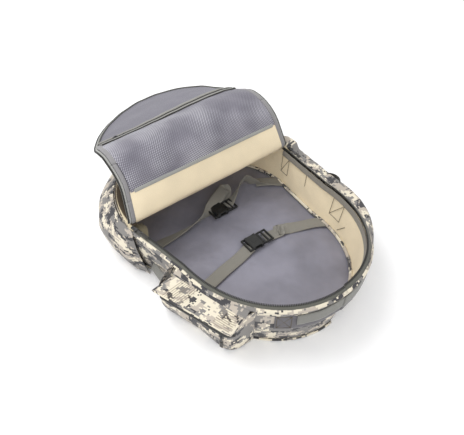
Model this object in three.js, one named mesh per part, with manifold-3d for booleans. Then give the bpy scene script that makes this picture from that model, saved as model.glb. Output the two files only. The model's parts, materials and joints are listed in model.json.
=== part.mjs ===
// Clamshell spotting-scope backpack, lying on its back panel with the front lid folded open.
// Millimetres. +Z up, +X towards the pack's top end, -Y the side that carries the zipped pouch.
// The origin is on the flat resting face of the spine pad.
import * as THREE from "three";
import { mergeVertices } from "three/addons/utils/BufferGeometryUtils.js";
import Module from "manifold-3d";

const wasm = await Module();
wasm.setup();

// ---------------------------------------------------------------- driving dimensions
const HINGE_X = -79; // where the lid leaves the front of the pack
const BOTTOM_LENGTH = 189; // hinge line to the bottom end
const STRAIGHT_LENGTH = 139; // straight, slightly tapered stretch of the rim
const TOP_LENGTH = 205.5; // rounded top end
const HALF_WIDTH_HINGE = 195;
const HALF_WIDTH_TOP = 176;
const BOTTOM_ROUNDNESS = 2.2; // superellipse exponents of the two ends
const TOP_ROUNDNESS = 2.1;
const RIM_HEIGHT = 103; // above the ground, at the hinge and below it
const RIM_RISE = 10; // the rim climbs this much to the top end
const BASE_INSET = 0.06; // the base outline is this much smaller than the rim outline
const WALL = 4;
const GAP = 0.5;

const FLOOR_BOTTOM = 9; // padded back panel
const FLOOR_TOP = 19;
const WALL_BOTTOM = 1;
const WALL_TOP = 100;
const WALL_SEAM = 0.002; // share of a stretch left open at each end
const TAPE_SEAT = 0.4; // between the wall's top edge and what is sewn above it
const DECK_THICKNESS = 4;
const TAPE_HEIGHT = 2.6;
const TAPE_IN = 6; // zipper tape, inside and outside the rim line
const TAPE_OUT = 3;

const LID_AXIS_Z = RIM_HEIGHT + 6;
const LID_OPEN = 113; // degrees from the closed direction at the hinge
const LID_FOLD = 40.5; // each of the two soft folds
const LID_LOWER_END = 84;
const LID_MID_END = 144;
const LID_INSET = 7; // inside the rim line, so the tape and its sliders pass outside the lid
const LID_LENGTH = STRAIGHT_LENGTH + TOP_LENGTH - LID_INSET;
const LID_HALF_THICKNESS = 2;
const FOLD_GAP = 1.2;
const BINDING_WIDTH = 22;
const MESH_END = 194;

const WEBBING = 25;
const WEBBING_THICKNESS = 1.6;

// ---------------------------------------------------------------- materials
function fabric(color, roughness = 0.9) {
  return new THREE.MeshStandardMaterial({ color, roughness, metalness: 0 });
}
const camo = () => fabric(0xb9ac94);
const lining = () => fabric(0xd9c8a2);
const greyPad = () => fabric(0x77757c);
const meshCloth = () => fabric(0x7b7d85, 0.8);
const binding = () => fabric(0x6f6e72);
const webbing = () => fabric(0x7a786c);
const tape = () => fabric(0x3d3c3a);
const plastic = () => new THREE.MeshStandardMaterial({ color: 0x1d1e1f, roughness: 0.45, metalness: 0 });
const metal = () => new THREE.MeshStandardMaterial({ color: 0x6a6a6a, roughness: 0.35, metalness: 0.9 });

const pack = new THREE.Group();

function add(name, geometry, material, parent = pack) {
  const mesh = new THREE.Mesh(geometry, material);
  mesh.name = name;
  parent.add(mesh);
  return mesh;
}

// ---------------------------------------------------------------- rim outline
// v runs 0..1 round a quarter of the bottom end, 1..2 along the straight stretch and
// 2..3 round a quarter of the top end. side is -1 for the near half and +1 for the far half.
function rimPoint(v, side) {
  if (v <= 1) {
    const turn = (v * Math.PI) / 2;
    const x = HINGE_X - BOTTOM_LENGTH * Math.cos(turn) ** (2 / BOTTOM_ROUNDNESS);
    return new THREE.Vector2(x, side * HALF_WIDTH_HINGE * Math.sin(turn) ** (2 / BOTTOM_ROUNDNESS));
  }
  if (v <= 2) {
    const half = THREE.MathUtils.lerp(HALF_WIDTH_HINGE, HALF_WIDTH_TOP, v - 1);
    return new THREE.Vector2(HINGE_X + (v - 1) * STRAIGHT_LENGTH, side * half);
  }
  const turn = ((3 - Math.min(v, 3)) * Math.PI) / 2;
  const reach = TOP_LENGTH * Math.max(Math.cos(turn), 0) ** (2 / TOP_ROUNDNESS);
  return new THREE.Vector2(
    HINGE_X + STRAIGHT_LENGTH + reach,
    side * HALF_WIDTH_TOP * Math.max(Math.sin(turn), 0) ** (2 / TOP_ROUNDNESS),
  );
}

// A point moved outwards from the rim line, square to it. The two ends of the half outline are on the axis.
function offsetPoint(v, side, out) {
  const step = 0.01;
  const here = rimPoint(v, side);
  if (v <= 0) return new THREE.Vector2(here.x - out, 0);
  if (v >= 3) return new THREE.Vector2(here.x + out, 0);
  const run = rimPoint(Math.min(v + step, 3), side).sub(rimPoint(Math.max(v - step, 0), side));
  const normal = new THREE.Vector2(run.y, -run.x).multiplyScalar(-side).normalize();
  return here.add(normal.multiplyScalar(out));
}

function outlinePoints(v0, v1, side, out, steps) {
  const points = [];
  for (let i = 0; i <= steps; i++) points.push(offsetPoint(v0 + ((v1 - v0) * i) / steps, side, out));
  return points;
}

// A strip of the outline between two offsets.
function stripShape(v0, v1, side, inner, outer, steps) {
  const back = outlinePoints(v0, v1, side, inner, steps).reverse();
  return new THREE.Shape([...outlinePoints(v0, v1, side, outer, steps), ...back]);
}

// The whole area inside the outline at one offset, from v0 to v1.
function areaShape(v0, v1, out, steps) {
  const far = outlinePoints(v0, v1, 1, out, steps).reverse();
  const points = [...outlinePoints(v0, v1, -1, out, steps), ...far];
  return new THREE.Shape(points.filter((p, i) => i === 0 || p.distanceTo(points[i - 1]) > 0.01));
}

function prism(shape, bottom, top) {
  const geometry = new THREE.ExtrudeGeometry(shape, { depth: top - bottom, bevelEnabled: false });
  return geometry.translate(0, 0, bottom);
}

function rimHeightAt(x) {
  const along = Math.max(0, x - HINGE_X) / (STRAIGHT_LENGTH + TOP_LENGTH);
  return RIM_HEIGHT + RIM_RISE * along;
}

// Walls lean outwards from the base to the rim, and the rim climbs towards the top end.
function leanPoint(point) {
  const scale = 1 - BASE_INSET * (1 - point.z / WALL_TOP);
  const height = (point.z * rimHeightAt(point.x)) / RIM_HEIGHT;
  return point.set(point.x * scale, point.y * scale, height);
}

function mapVertices(geometry, change) {
  const position = geometry.getAttribute("position");
  const point = new THREE.Vector3();
  for (let i = 0; i < position.count; i++) {
    change(point.fromBufferAttribute(position, i));
    position.setXYZ(i, point.x, point.y, point.z);
  }
  return geometry;
}

const lean = (geometry) => mapVertices(geometry, leanPoint);

// ---------------------------------------------------------------- booleans
function toSolid(geometry) {
  const bare = geometry.clone();
  bare.deleteAttribute("normal");
  bare.deleteAttribute("uv");
  const merged = mergeVertices(bare, 1e-4);
  return new wasm.Manifold(
    new wasm.Mesh({
      numProp: 3,
      vertProperties: merged.getAttribute("position").array,
      triVerts: new Uint32Array(merged.index.array),
    }),
  );
}

function toGeometry(solid) {
  const mesh = solid.getMesh();
  const geometry = new THREE.BufferGeometry();
  geometry.setAttribute("position", new THREE.BufferAttribute(mesh.vertProperties, 3));
  geometry.setIndex(new THREE.BufferAttribute(mesh.triVerts, 1));
  return geometry.toNonIndexed();
}

function cut(body, ...tools) {
  const solid = tools.reduce((rest, tool) => rest.subtract(toSolid(tool)), toSolid(body));
  return toGeometry(solid);
}

// ---------------------------------------------------------------- small parts
function box(x0, x1, y0, y1, z0, z1) {
  const geometry = new THREE.BoxGeometry(x1 - x0, y1 - y0, z1 - z0);
  return geometry.translate((x0 + x1) / 2, (y0 + y1) / 2, (z0 + z1) / 2);
}

// A flat pad with rounded corners.
function roundedPad(x0, x1, halfWidth, radius, z0, z1) {
  const corners = [
    [x0 + radius, -halfWidth + radius, Math.PI],
    [x1 - radius, -halfWidth + radius, Math.PI * 1.5],
    [x1 - radius, halfWidth - radius, 0],
    [x0 + radius, halfWidth - radius, Math.PI / 2],
  ];
  const shape = new THREE.Shape();
  for (const [x, y, start] of corners) shape.absarc(x, y, radius, start, start + Math.PI / 2, false);
  const pad = new THREE.ExtrudeGeometry(shape, { depth: z1 - z0, bevelEnabled: false, curveSegments: 4 });
  return pad.translate(0, 0, z0);
}

// A flat band of constant width that follows a smooth line on a level surface.
function band(points, width, z0, z1, steps) {
  const curve = new THREE.CatmullRomCurve3(points.map(([x, y]) => new THREE.Vector3(x, y, 0)));
  const left = [];
  const right = [];
  for (let i = 0; i <= steps; i++) {
    const here = curve.getPoint(i / steps);
    const way = curve.getTangent(i / steps);
    left.push(new THREE.Vector2(here.x - (way.y * width) / 2, here.y + (way.x * width) / 2));
    right.push(new THREE.Vector2(here.x + (way.y * width) / 2, here.y - (way.x * width) / 2));
  }
  return prism(new THREE.Shape([...right, ...left.reverse()]), z0, z1);
}

// A frame at a point of a level line, its X along the line.
function lineFrame([x0, y0], [x1, y1], along, z, parent = pack) {
  const frame = new THREE.Group();
  frame.position.set(x0 + (x1 - x0) * along, y0 + (y1 - y0) * along, z);
  frame.rotation.z = Math.atan2(y1 - y0, x1 - x0);
  parent.add(frame);
  return frame;
}

// ---------------------------------------------------------------- shell of the pack
function buildShell() {
  const floor = areaShape(0, 3, -(WALL + GAP), 30);
  add("back_panel", lean(prism(floor, FLOOR_BOTTOM, FLOOR_TOP)), greyPad());
  for (const [label, side] of [["near", -1], ["far", 1]]) {
    const stretches = [
      ["wall_bottom", 0, 1, 10],
      ["wall_side", 1, 2, 3],
      ["wall_top", 2, 3, 12],
    ];
    for (const [name, v0, v1, steps] of stretches) {
      const strip = stripShape(v0 + WALL_SEAM, v1 - WALL_SEAM, side, -WALL, 0, steps);
      add(`${name}_${label}`, lean(prism(strip, WALL_BOTTOM, WALL_TOP)), camo());
    }
    const rim = stripShape(1.01, 2.998, side, -TAPE_IN, TAPE_OUT, 20);
    const rimTape = prism(rim, WALL_TOP + TAPE_SEAT, WALL_TOP + TAPE_SEAT + TAPE_HEIGHT);
    add(`rim_zipper_tape_${label}`, lean(rimTape), tape());
  }
  const deck = areaShape(0, 0.985, 0, 12);
  const seat = WALL_TOP + TAPE_SEAT;
  add("lower_front_panel", lean(prism(deck, seat, seat + DECK_THICKNESS)), camo());
}

// ---------------------------------------------------------------- open pockets at the bottom corners
const POCKET_START = 0.26;
const POCKET_END = 1.08;
const POCKET_WALL = 3;
const POCKET_DEPTHS = { 0: 36, 50: 40, 100: 13.5 }; // by height: at the base, the belly and the mouth
const POCKET_BELLY = 50;
const POCKET_FLOOR = 4;
const POCKET_LEAST_DEPTH = POCKET_WALL + 1.5; // at the two side seams
const POCKET_RISE = 0.12; // share of the pocket's width over which it swells from its first seam
const POCKET_FALL = 0.56; // from here it narrows to its second seam
const POCKET_END_SHARE = 0.2;

function pocketDepth(along, height) {
  const startRise = Math.min(1, along / POCKET_RISE) ** 0.5;
  const fall = Math.max(0, (along - POCKET_FALL) / (1 - POCKET_FALL));
  const endFall = 1 - (1 - POCKET_END_SHARE) * fall;
  const low = height < POCKET_BELLY ? 0 : POCKET_BELLY;
  const share = (height - low) / POCKET_BELLY;
  const full = THREE.MathUtils.lerp(POCKET_DEPTHS[low], POCKET_DEPTHS[low + POCKET_BELLY], share);
  return POCKET_LEAST_DEPTH + (full - POCKET_LEAST_DEPTH) * startRise * endFall;
}

// Section columns: 0 is against the pack's wall, 1 the inside and 2 the outside of the pocket's skin.
function buildCornerPocket(label, side) {
  const rows = { bottom: WALL_BOTTOM, floor: POCKET_FLOOR, belly: POCKET_BELLY, top: WALL_TOP };
  const section = new THREE.Shape([
    new THREE.Vector2(0, rows.bottom),
    new THREE.Vector2(2, rows.bottom),
    new THREE.Vector2(2, rows.belly),
    new THREE.Vector2(2, rows.top),
    new THREE.Vector2(1, rows.top),
    new THREE.Vector2(1, rows.belly),
    new THREE.Vector2(1, rows.floor),
    new THREE.Vector2(0, rows.floor),
  ]);
  const geometry = new THREE.ExtrudeGeometry(section, { depth: 1, steps: 16, bevelEnabled: false });
  mapVertices(geometry, (point) => {
    const along = point.z;
    const height = point.y;
    const skin = pocketDepth(along, height);
    const out = [1, skin - POCKET_WALL, skin][Math.round(point.x)];
    const plan = offsetPoint(THREE.MathUtils.lerp(POCKET_START, POCKET_END, along), side, out);
    leanPoint(point.set(plan.x, plan.y, height));
  });
  // Read from the near side, the section turns the other way round.
  if (side < 0) geometry.setAttribute("position", reversed(geometry.getAttribute("position")));
  add(`corner_pocket_${label}`, geometry, camo());
}

function reversed(attribute) {
  const points = attribute.array.slice();
  for (let i = 0; i < points.length; i += 9) {
    for (let k = 0; k < 3; k++) [points[i + k], points[i + 6 + k]] = [points[i + 6 + k], points[i + k]];
  }
  return new THREE.BufferAttribute(points, 3);
}

// ---------------------------------------------------------------- zipped pouch on the near side
const POUCH_HINGE = [[62, -190], [197, -155]]; // plan line where the flap is sewn on
const POUCH_OUTER = [[38, -226], [195, -180]];
const POUCH_BACK = 1.2; // behind the pouch, clear of the wall
const FLAP_TILT = THREE.MathUtils.degToRad(50);
const FLAP_HINGE_Z = 99;
const FLAP_THICKNESS = 2.4;
const FLAP_ROOM = 9; // the pouch mouth stays this far below the flap
const POUCH_SKIN = 2.5;
const POUCH_RANGE = [1.84, 2.47]; // stretch of the wall behind the pouch
const FLAP_OUTLINE = [[0, -1], [-34, -50], [133, -42], [138, -1]]; // in the flap's own frame
const POUCH_HOLLOW = [[41, -222.6], [192, -178.2]]; // outer corners of the space inside
const POUCH_HOLLOW_RANGE = [1.86, 2.44];
const POUCH_BOTTOM = 1.5;
const POUCH_BLOCK_TOP = 97;
const HOLLOW_TOP = 120;
const ABOVE_FLAP = [-120, 260, -160, 30, -0.8, 160]; // a block over everything the flap covers

function buildPouch() {
  const wallPoints = outlinePoints(...POUCH_RANGE, -1, POUCH_BACK, 12);
  const outline = new THREE.Shape([
    ...POUCH_OUTER.map(([x, y]) => new THREE.Vector2(x, y)),
    ...wallPoints.reverse(),
  ]);
  const hollow = new THREE.Shape([
    ...POUCH_HOLLOW.map(([x, y]) => new THREE.Vector2(x, y)),
    ...outlinePoints(...POUCH_HOLLOW_RANGE, -1, POUCH_BACK - 3, 12).reverse(),
  ]);
  const block = prism(outline, POUCH_BOTTOM, POUCH_BLOCK_TOP);
  const inside = prism(hollow, POUCH_BOTTOM + POUCH_SKIN, HOLLOW_TOP);
  const above = box(...ABOVE_FLAP);
  above.rotateX(FLAP_TILT);
  above.rotateZ(Math.atan2(POUCH_HINGE[1][1] - POUCH_HINGE[0][1], POUCH_HINGE[1][0] - POUCH_HINGE[0][0]));
  above.translate(POUCH_HINGE[0][0], POUCH_HINGE[0][1], FLAP_HINGE_Z - FLAP_ROOM);
  add("side_pouch", lean(cut(block, inside, above)), camo());

  const seat = lineFrame(...POUCH_HINGE, 0, FLAP_HINGE_Z);
  const flapFrame = new THREE.Group();
  flapFrame.rotation.x = FLAP_TILT;
  seat.add(flapFrame);
  const flap = new THREE.Shape(FLAP_OUTLINE.map(([x, y]) => new THREE.Vector2(x, y)));
  add("pouch_flap", prism(flap, 0, FLAP_THICKNESS), camo(), flapFrame);
}

// ---------------------------------------------------------------- zipper sliders and pulls
const PULL_THICKNESS = 1.6;
const PULL_CLEARANCE = 1.4; // the pull turns about its inner edge, this far in front of the slider
const PULL_LIFT = 0.8; // above the middle of the slider
const PULL_ROOT = 1.8; // half widths
const PULL_NECK = 3.2;
const PULL_NECK_AT = 16;
const PULL_END_AT = 24;
const PULL_END_RADIUS = 3.6;
const MAIN_SLIDER = [14, 9, 5]; // length, width, height
const MAIN_SLIDER_RANGE = [1.1, 1.99];
const MAIN_SLIDER_OUT = -0.4;
const SLIDER_CLEARANCE = 0.9;
const POUCH_SLIDER = [9, 12, 4];
const POUCH_SLIDER_LEVEL = 44; // on the pouch's flat pattern
const POUCH_SLIDER_Z = 47.52;
const POUCH_SLIDER_ALONG = 0.9;
const POUCH_SLIDER_OUT = 2.6;

function buildSlider(name, frame, length, width, height) {
  add(`${name}_slider`, box(-length / 2, length / 2, -width / 2, width / 2, 0, height), metal(), frame);
  const pull = new THREE.Shape();
  pull.moveTo(0, -PULL_ROOT);
  pull.lineTo(PULL_NECK_AT, -PULL_NECK);
  pull.absarc(PULL_END_AT, 0, PULL_END_RADIUS, -Math.PI / 2, Math.PI / 2, false);
  pull.lineTo(PULL_NECK_AT, PULL_NECK);
  pull.lineTo(0, PULL_ROOT);
  const plate = new THREE.ExtrudeGeometry(pull, { depth: PULL_THICKNESS, bevelEnabled: false, curveSegments: 6 });
  plate.translate(length / 2 + PULL_CLEARANCE, 0, (height - PULL_THICKNESS) / 2 + PULL_LIFT);
  add(`${name}_pull`, plate, metal(), frame);
}

function buildMainSliders() {
  for (const [label, side] of [["near", -1], ["far", 1]]) {
    const [from, to] = MAIN_SLIDER_RANGE.map((v) => offsetPoint(v, side, MAIN_SLIDER_OUT));
    const z = rimHeightAt(from.x) + TAPE_SEAT + TAPE_HEIGHT + SLIDER_CLEARANCE;
    const frame = lineFrame(from.toArray(), to.toArray(), 0, z);
    buildSlider(`main_${label}`, frame, ...MAIN_SLIDER);
  }
}

// The pouch's slider lies on its outer face, below the flap's free edge, with the pull hanging down.
function buildPouchSlider() {
  const scale = 1 - BASE_INSET * (1 - POUCH_SLIDER_LEVEL / WALL_TOP);
  const ends = POUCH_OUTER.map(([x, y]) => [x * scale, y * scale]);
  const face = lineFrame(...ends, POUCH_SLIDER_ALONG, POUCH_SLIDER_Z);
  const seat = new THREE.Group();
  const outwards = new THREE.Vector3(0, -1, 0);
  const down = new THREE.Vector3(0, 0, -1);
  seat.matrix.makeBasis(down, outwards.clone().cross(down), outwards).setPosition(0, -POUCH_SLIDER_OUT, 0);
  seat.matrix.decompose(seat.position, seat.quaternion, seat.scale);
  face.add(seat);
  buildSlider("pouch", seat, ...POUCH_SLIDER);
}

// ---------------------------------------------------------------- lid in three soft segments
// Each segment is drawn closed: X from the hinge along the lid, +Z the outside face.
function lidShape(s0, s1, out, steps) {
  const toV = (s) => (s <= STRAIGHT_LENGTH ? 1 + s / STRAIGHT_LENGTH : 2 + topTurn(s));
  const shape = areaShape(toV(s0), toV(s1), out, steps);
  return new THREE.Shape(shape.getPoints().map((p) => new THREE.Vector2(p.x - HINGE_X, p.y)));
}

function topTurn(s) {
  const reach = Math.min(1, (s - STRAIGHT_LENGTH) / TOP_LENGTH);
  return 1 - Math.acos(Math.min(1, reach ** (TOP_ROUNDNESS / 2))) / (Math.PI / 2);
}

function lidStrip(s0, s1, side, inner, outer, steps) {
  const v0 = s0 <= STRAIGHT_LENGTH ? 1 + s0 / STRAIGHT_LENGTH : 2 + topTurn(s0);
  const v1 = s1 <= STRAIGHT_LENGTH ? 1 + s1 / STRAIGHT_LENGTH : 2 + topTurn(s1);
  const shape = stripShape(v0, v1, side, inner, outer, steps);
  return new THREE.Shape(shape.getPoints().map((p) => new THREE.Vector2(p.x - HINGE_X, p.y)));
}

const LID_START = 5;
const LAYER_GAP = 0.4;
const MESH_LAYER = [-3, -1]; // under the lining, seen from the inner face
const BINDING_THICKNESS = 1.6;
const ZIP_BAND = [9, 138, 3]; // width, half length, thickness
const MESH_SLIDER = [12, 8, 4];
const MESH_SLIDER_END = 14; // from the near end of its band
const LID_WEBBING_AT = [60, 105, 150];
const LID_WEBBING_HALF = 92;

function buildLid() {
  const closedSide = -LID_HALF_THICKNESS - LAYER_GAP; // inner face, where the lining pieces lie
  const degrees = THREE.MathUtils.degToRad;
  let parent = pack;
  let start = 0;
  const segments = [
    ["lower", LID_START, LID_LOWER_END, 4],
    ["mid", LID_LOWER_END, LID_MID_END, 3],
    ["upper", LID_MID_END, LID_LENGTH + LID_INSET, 22],
  ];
  for (const [name, s0, s1, steps] of segments) {
    const group = new THREE.Group();
    if (name === "lower") group.position.set(HINGE_X, 0, LID_AXIS_Z);
    else group.position.set(s0 - start, 0, 0);
    group.rotation.y = -degrees(name === "lower" ? LID_OPEN : LID_FOLD);
    parent.add(group);
    parent = group;
    start = name === "lower" ? 0 : s0;
    const from = s0 + (name === "lower" ? 0 : FOLD_GAP);
    const to = s1 - (name === "upper" ? 0 : FOLD_GAP);
    const toOrigin = (geometry) => geometry.translate(-start, 0, 0);

    const panel = lidShape(from, to, -LID_INSET, steps);
    const cloth = name === "lower" ? lining() : camo();
    add(`lid_${name}_panel`, toOrigin(prism(panel, -LID_HALF_THICKNESS, LID_HALF_THICKNESS)), cloth, group);
    if (name === "lower") continue;
    const pocket = lidShape(from, Math.min(to, MESH_END), -LID_INSET - BINDING_WIDTH - 1, steps);
    const [low, high] = MESH_LAYER.map((depth) => closedSide + depth);
    add(`mesh_pocket_${name}`, toOrigin(prism(pocket, low, high)), meshCloth(), group);
    if (name === "upper") buildLidUpper(group, closedSide, toOrigin);
  }
}

function buildLidUpper(group, closedSide, toOrigin) {
  for (const [label, side] of [["near", -1], ["far", 1]]) {
    const ends = [LID_MID_END + FOLD_GAP, LID_LENGTH + LID_INSET - 0.6];
    const edge = lidStrip(...ends, side, -LID_INSET - BINDING_WIDTH, -LID_INSET, 22);
    const strip = toOrigin(prism(edge, closedSide - BINDING_THICKNESS, closedSide));
    add(`lid_binding_${label}`, strip, binding(), group);
  }
  const zipFrom = MESH_END - LID_MID_END + 1;
  const [zipWidth, zipHalf, zipThickness] = ZIP_BAND;
  const band = box(zipFrom, zipFrom + zipWidth, -zipHalf, zipHalf, closedSide - zipThickness, closedSide);
  add("mesh_zipper_tape", band, tape(), group);
  const frame = new THREE.Group();
  const sliderZ = closedSide - zipThickness - LAYER_GAP;
  frame.position.set(zipFrom + zipWidth / 2, -zipHalf + MESH_SLIDER_END, sliderZ);
  frame.rotation.set(0, Math.PI, -Math.PI / 2, "ZYX");
  group.add(frame);
  buildSlider("mesh", frame, ...MESH_SLIDER);
  const face = LID_HALF_THICKNESS + LAYER_GAP;
  LID_WEBBING_AT.forEach((s, i) => {
    const row = box(s, s + WEBBING, -LID_WEBBING_HALF, LID_WEBBING_HALF, face, face + WEBBING_THICKNESS);
    add(`lid_webbing_${i + 1}`, row, webbing(), group);
  });
}

// ---------------------------------------------------------------- straps inside, across the floor
const INSIDE_Z = (FLOOR_TOP * rimHeightAt(100)) / RIM_HEIGHT + 0.4;
const BUCKLE_SOCKET = [-4, 30, -17, 17, 2, 12];
const BUCKLE_MOUTH = [-5, 18, -12.5, 12.5, 4, 10];
const BUCKLE_MALE_LEVELS = [4.5, 9.5];
const BUCKLE_MALE_HALF = [[-30, 16], [-7, 16], [-7, 11.5], [14, 11.5], [14, 7], [-5, 7]]; // body, then one arm
const STRAP_ENDS_AT = [-30, 12]; // where the two webbings end, along the buckle

// Webbing from the far wall with the sliding male half, and webbing from the near wall with the socket.
function buildInsideStrap(letter, farEnd, buckleAt, nearEnd) {
  const turn = Math.atan2(nearEnd[1] - farEnd[1], nearEnd[0] - farEnd[0]);
  const frame = new THREE.Group();
  frame.position.set(...buckleAt, INSIDE_Z);
  frame.rotation.z = turn;
  pack.add(frame);
  const along = (x) => [buckleAt[0] + x * Math.cos(turn), buckleAt[1] + x * Math.sin(turn)];
  const [farStop, nearStop] = STRAP_ENDS_AT.map(along);
  for (const [label, from, to] of [["far", farEnd, farStop], ["near", nearStop, nearEnd]]) {
    const length = Math.hypot(to[0] - from[0], to[1] - from[1]);
    const web = box(0, length, -WEBBING / 2, WEBBING / 2, 0, WEBBING_THICKNESS);
    add(`strap_${letter}_${label}`, web, webbing(), lineFrame(from, to, 0, INSIDE_Z));
  }
  add(`buckle_${letter}_female`, cut(box(...BUCKLE_SOCKET), box(...BUCKLE_MOUTH)), plastic(), frame);
  const mirrored = BUCKLE_MALE_HALF.map(([x, y]) => [x, -y]).reverse();
  const outline = [...BUCKLE_MALE_HALF, ...mirrored].reverse().map(([x, y]) => new THREE.Vector2(x, y));
  add(`buckle_${letter}_male`, prism(new THREE.Shape(outline), ...BUCKLE_MALE_LEVELS), plastic(), frame);
}

// ---------------------------------------------------------------- webbing on the outside walls
const TOP_WEBBING = { range: [2.52, 2.998], offsets: [0.6, 2.6], levels: [42, 80] };
const POUCH_WEBBING = { range: [1.54, 1.82], offsets: [4, 6], levels: [22, 47] };

function wallWebbing({ range, offsets, levels }, side, steps) {
  return lean(prism(stripShape(...range, side, ...offsets, steps), ...levels));
}

function buildSideWebbing() {
  add("top_webbing_near", wallWebbing(TOP_WEBBING, -1, 12), webbing());
  add("top_webbing_far", wallWebbing(TOP_WEBBING, 1, 12), webbing());
  add("pouch_webbing", wallWebbing(POUCH_WEBBING, -1, 3), webbing());
}

// ---------------------------------------------------------------- harness under the back panel
const PAD_TOP = FLOOR_BOTTOM - 0.6;
// name, x from and to, half width, corner radius
const BACK_PADS = [
  ["lumbar_pad", -236, -125, 88, 25],
  ["spine_pad", -112, 32, 38, 18],
  ["upper_back_pad", 100, 176, 30, 15],
];
const SHOULDER_ROUTE = [[206, 60], [150, 64], [70, 76], [-10, 86], [-85, 92]];
const SHOULDER_WIDTH = 54;
const SHOULDER_LEVELS = [1.4, 7.4];
const LOW_STRAP = [-204, -97, 5.4, 7]; // x from and to, z from and to
const LOW_STRAP_INNER = 98;

function buildHarness() {
  for (const [name, x0, x1, half, radius] of BACK_PADS) {
    add(name, roundedPad(x0, x1, half, radius, 0, PAD_TOP), greyPad());
  }
  for (const [label, side] of [["near", -1], ["far", 1]]) {
    const line = SHOULDER_ROUTE.map(([x, y]) => [x, side * y]);
    add(`shoulder_strap_${label}`, band(line, SHOULDER_WIDTH, ...SHOULDER_LEVELS, 14), greyPad());
    const [x0, x1, z0, z1] = LOW_STRAP;
    const edges = [side * LOW_STRAP_INNER, side * (LOW_STRAP_INNER + WEBBING)].sort((a, b) => a - b);
    add(`strap_webbing_${label}`, box(x0, x1, ...edges, z0, z1), webbing());
    buildLadderLock(label, side);
    buildSternumHalf(label, side);
  }
  buildSternumBuckle();
  buildHandle();
}

const LOCK = { x: [-130, -104], half: 16, z: [1.4, 5] };
const LOCK_SLOTS = { starts: [-124, -114], length: 5, half: 12.8, z: [0, 7] };

function buildLadderLock(label, side) {
  const middle = side * (LOW_STRAP_INNER + WEBBING / 2);
  const frame = box(...LOCK.x, middle - LOCK.half, middle + LOCK.half, ...LOCK.z);
  const { starts, length, half, z } = LOCK_SLOTS;
  const slots = starts.map((x) => box(x, x + length, middle - half, middle + half, ...z));
  add(`ladder_lock_${label}`, cut(frame, ...slots), plastic());
}

const STERNUM_X = 66;
const STERNUM_SLIDER = { half: 8, y: [38, 46], z: [1.4, 7] };
const STERNUM_WEB_HALF = 9.5;
const STERNUM_WEB_LEVELS = [5.8, 7];
const STERNUM_SOCKET = [-12, 12, -22, 3, 1.2, 5.4];
const STERNUM_MOUTH = [-8.5, 8.5, -12, 4, 2.2, 4.4];
const STERNUM_PLATE = [-11, 11, 4, 12, 2.4, 4.2];
const STERNUM_PRONG = [-7.5, 7.5, -9, 6, 2.4, 4.2];

function buildSternumHalf(label, side) {
  const { half, y, z } = STERNUM_SLIDER;
  const edges = [side * y[0], side * y[1]].sort((a, b) => a - b);
  add(`sternum_slider_${label}`, box(STERNUM_X - half, STERNUM_X + half, ...edges, ...z), plastic());
}

function buildSternumBuckle() {
  const at = ([x0, x1, ...rest]) => box(STERNUM_X + x0, STERNUM_X + x1, ...rest);
  const web = (y0, y1) => at([-STERNUM_WEB_HALF, STERNUM_WEB_HALF, y0, y1, ...STERNUM_WEB_LEVELS]);
  add("sternum_webbing_near", web(-37.6, -8), webbing());
  add("sternum_webbing_far", web(12, 37.6), webbing());
  add("sternum_buckle_female", cut(at(STERNUM_SOCKET), at(STERNUM_MOUTH)), plastic());
  const male = toSolid(at(STERNUM_PLATE)).add(toSolid(at(STERNUM_PRONG)));
  add("sternum_buckle_male", toGeometry(male), plastic());
}

const HANDLE_OUTER = [192, 238, -26, 26, 2, 6];
const HANDLE_GRIP = [199, 232, -17, 17, 0, 8];

function buildHandle() {
  add("grab_handle", cut(box(...HANDLE_OUTER), box(...HANDLE_GRIP)), webbing());
}

buildShell();
buildCornerPocket("near", -1);
buildCornerPocket("far", 1);
buildPouch();
buildPouchSlider();
buildMainSliders();
buildLid();
buildInsideStrap("a", [-71, 171], [-78, 16], [-74, -160]);
buildInsideStrap("b", [78, 150], [38, 14], [66, -147]);
buildSideWebbing();
buildHarness();

export default pack;
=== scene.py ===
"""Looks for the spotting-scope field pack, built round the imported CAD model.

Metres, +Z up, +X the top end.
"""

import json
import math

import bpy
from mathutils import Matrix, Vector, noise


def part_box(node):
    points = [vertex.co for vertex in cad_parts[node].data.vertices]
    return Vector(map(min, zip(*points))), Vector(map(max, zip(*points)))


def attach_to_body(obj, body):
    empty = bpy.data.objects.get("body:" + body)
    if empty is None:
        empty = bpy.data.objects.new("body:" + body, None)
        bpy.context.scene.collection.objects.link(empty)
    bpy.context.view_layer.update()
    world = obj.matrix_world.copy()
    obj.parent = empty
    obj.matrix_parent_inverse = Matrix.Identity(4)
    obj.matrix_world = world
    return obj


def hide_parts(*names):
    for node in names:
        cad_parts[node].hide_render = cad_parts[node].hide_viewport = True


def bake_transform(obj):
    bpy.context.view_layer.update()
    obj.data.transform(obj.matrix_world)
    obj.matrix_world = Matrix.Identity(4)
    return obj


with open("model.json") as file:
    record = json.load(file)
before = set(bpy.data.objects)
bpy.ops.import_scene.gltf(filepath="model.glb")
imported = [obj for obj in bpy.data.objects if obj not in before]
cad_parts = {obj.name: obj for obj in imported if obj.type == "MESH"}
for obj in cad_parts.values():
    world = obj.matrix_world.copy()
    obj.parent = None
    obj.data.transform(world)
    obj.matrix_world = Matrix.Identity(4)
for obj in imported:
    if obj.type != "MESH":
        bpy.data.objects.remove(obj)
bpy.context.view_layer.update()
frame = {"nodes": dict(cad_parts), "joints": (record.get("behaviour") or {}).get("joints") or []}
JOINTS = {joint["name"]: joint for joint in frame["joints"]}
MM = 0.001
SIDES = (("near", -1), ("far", 1))

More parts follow.
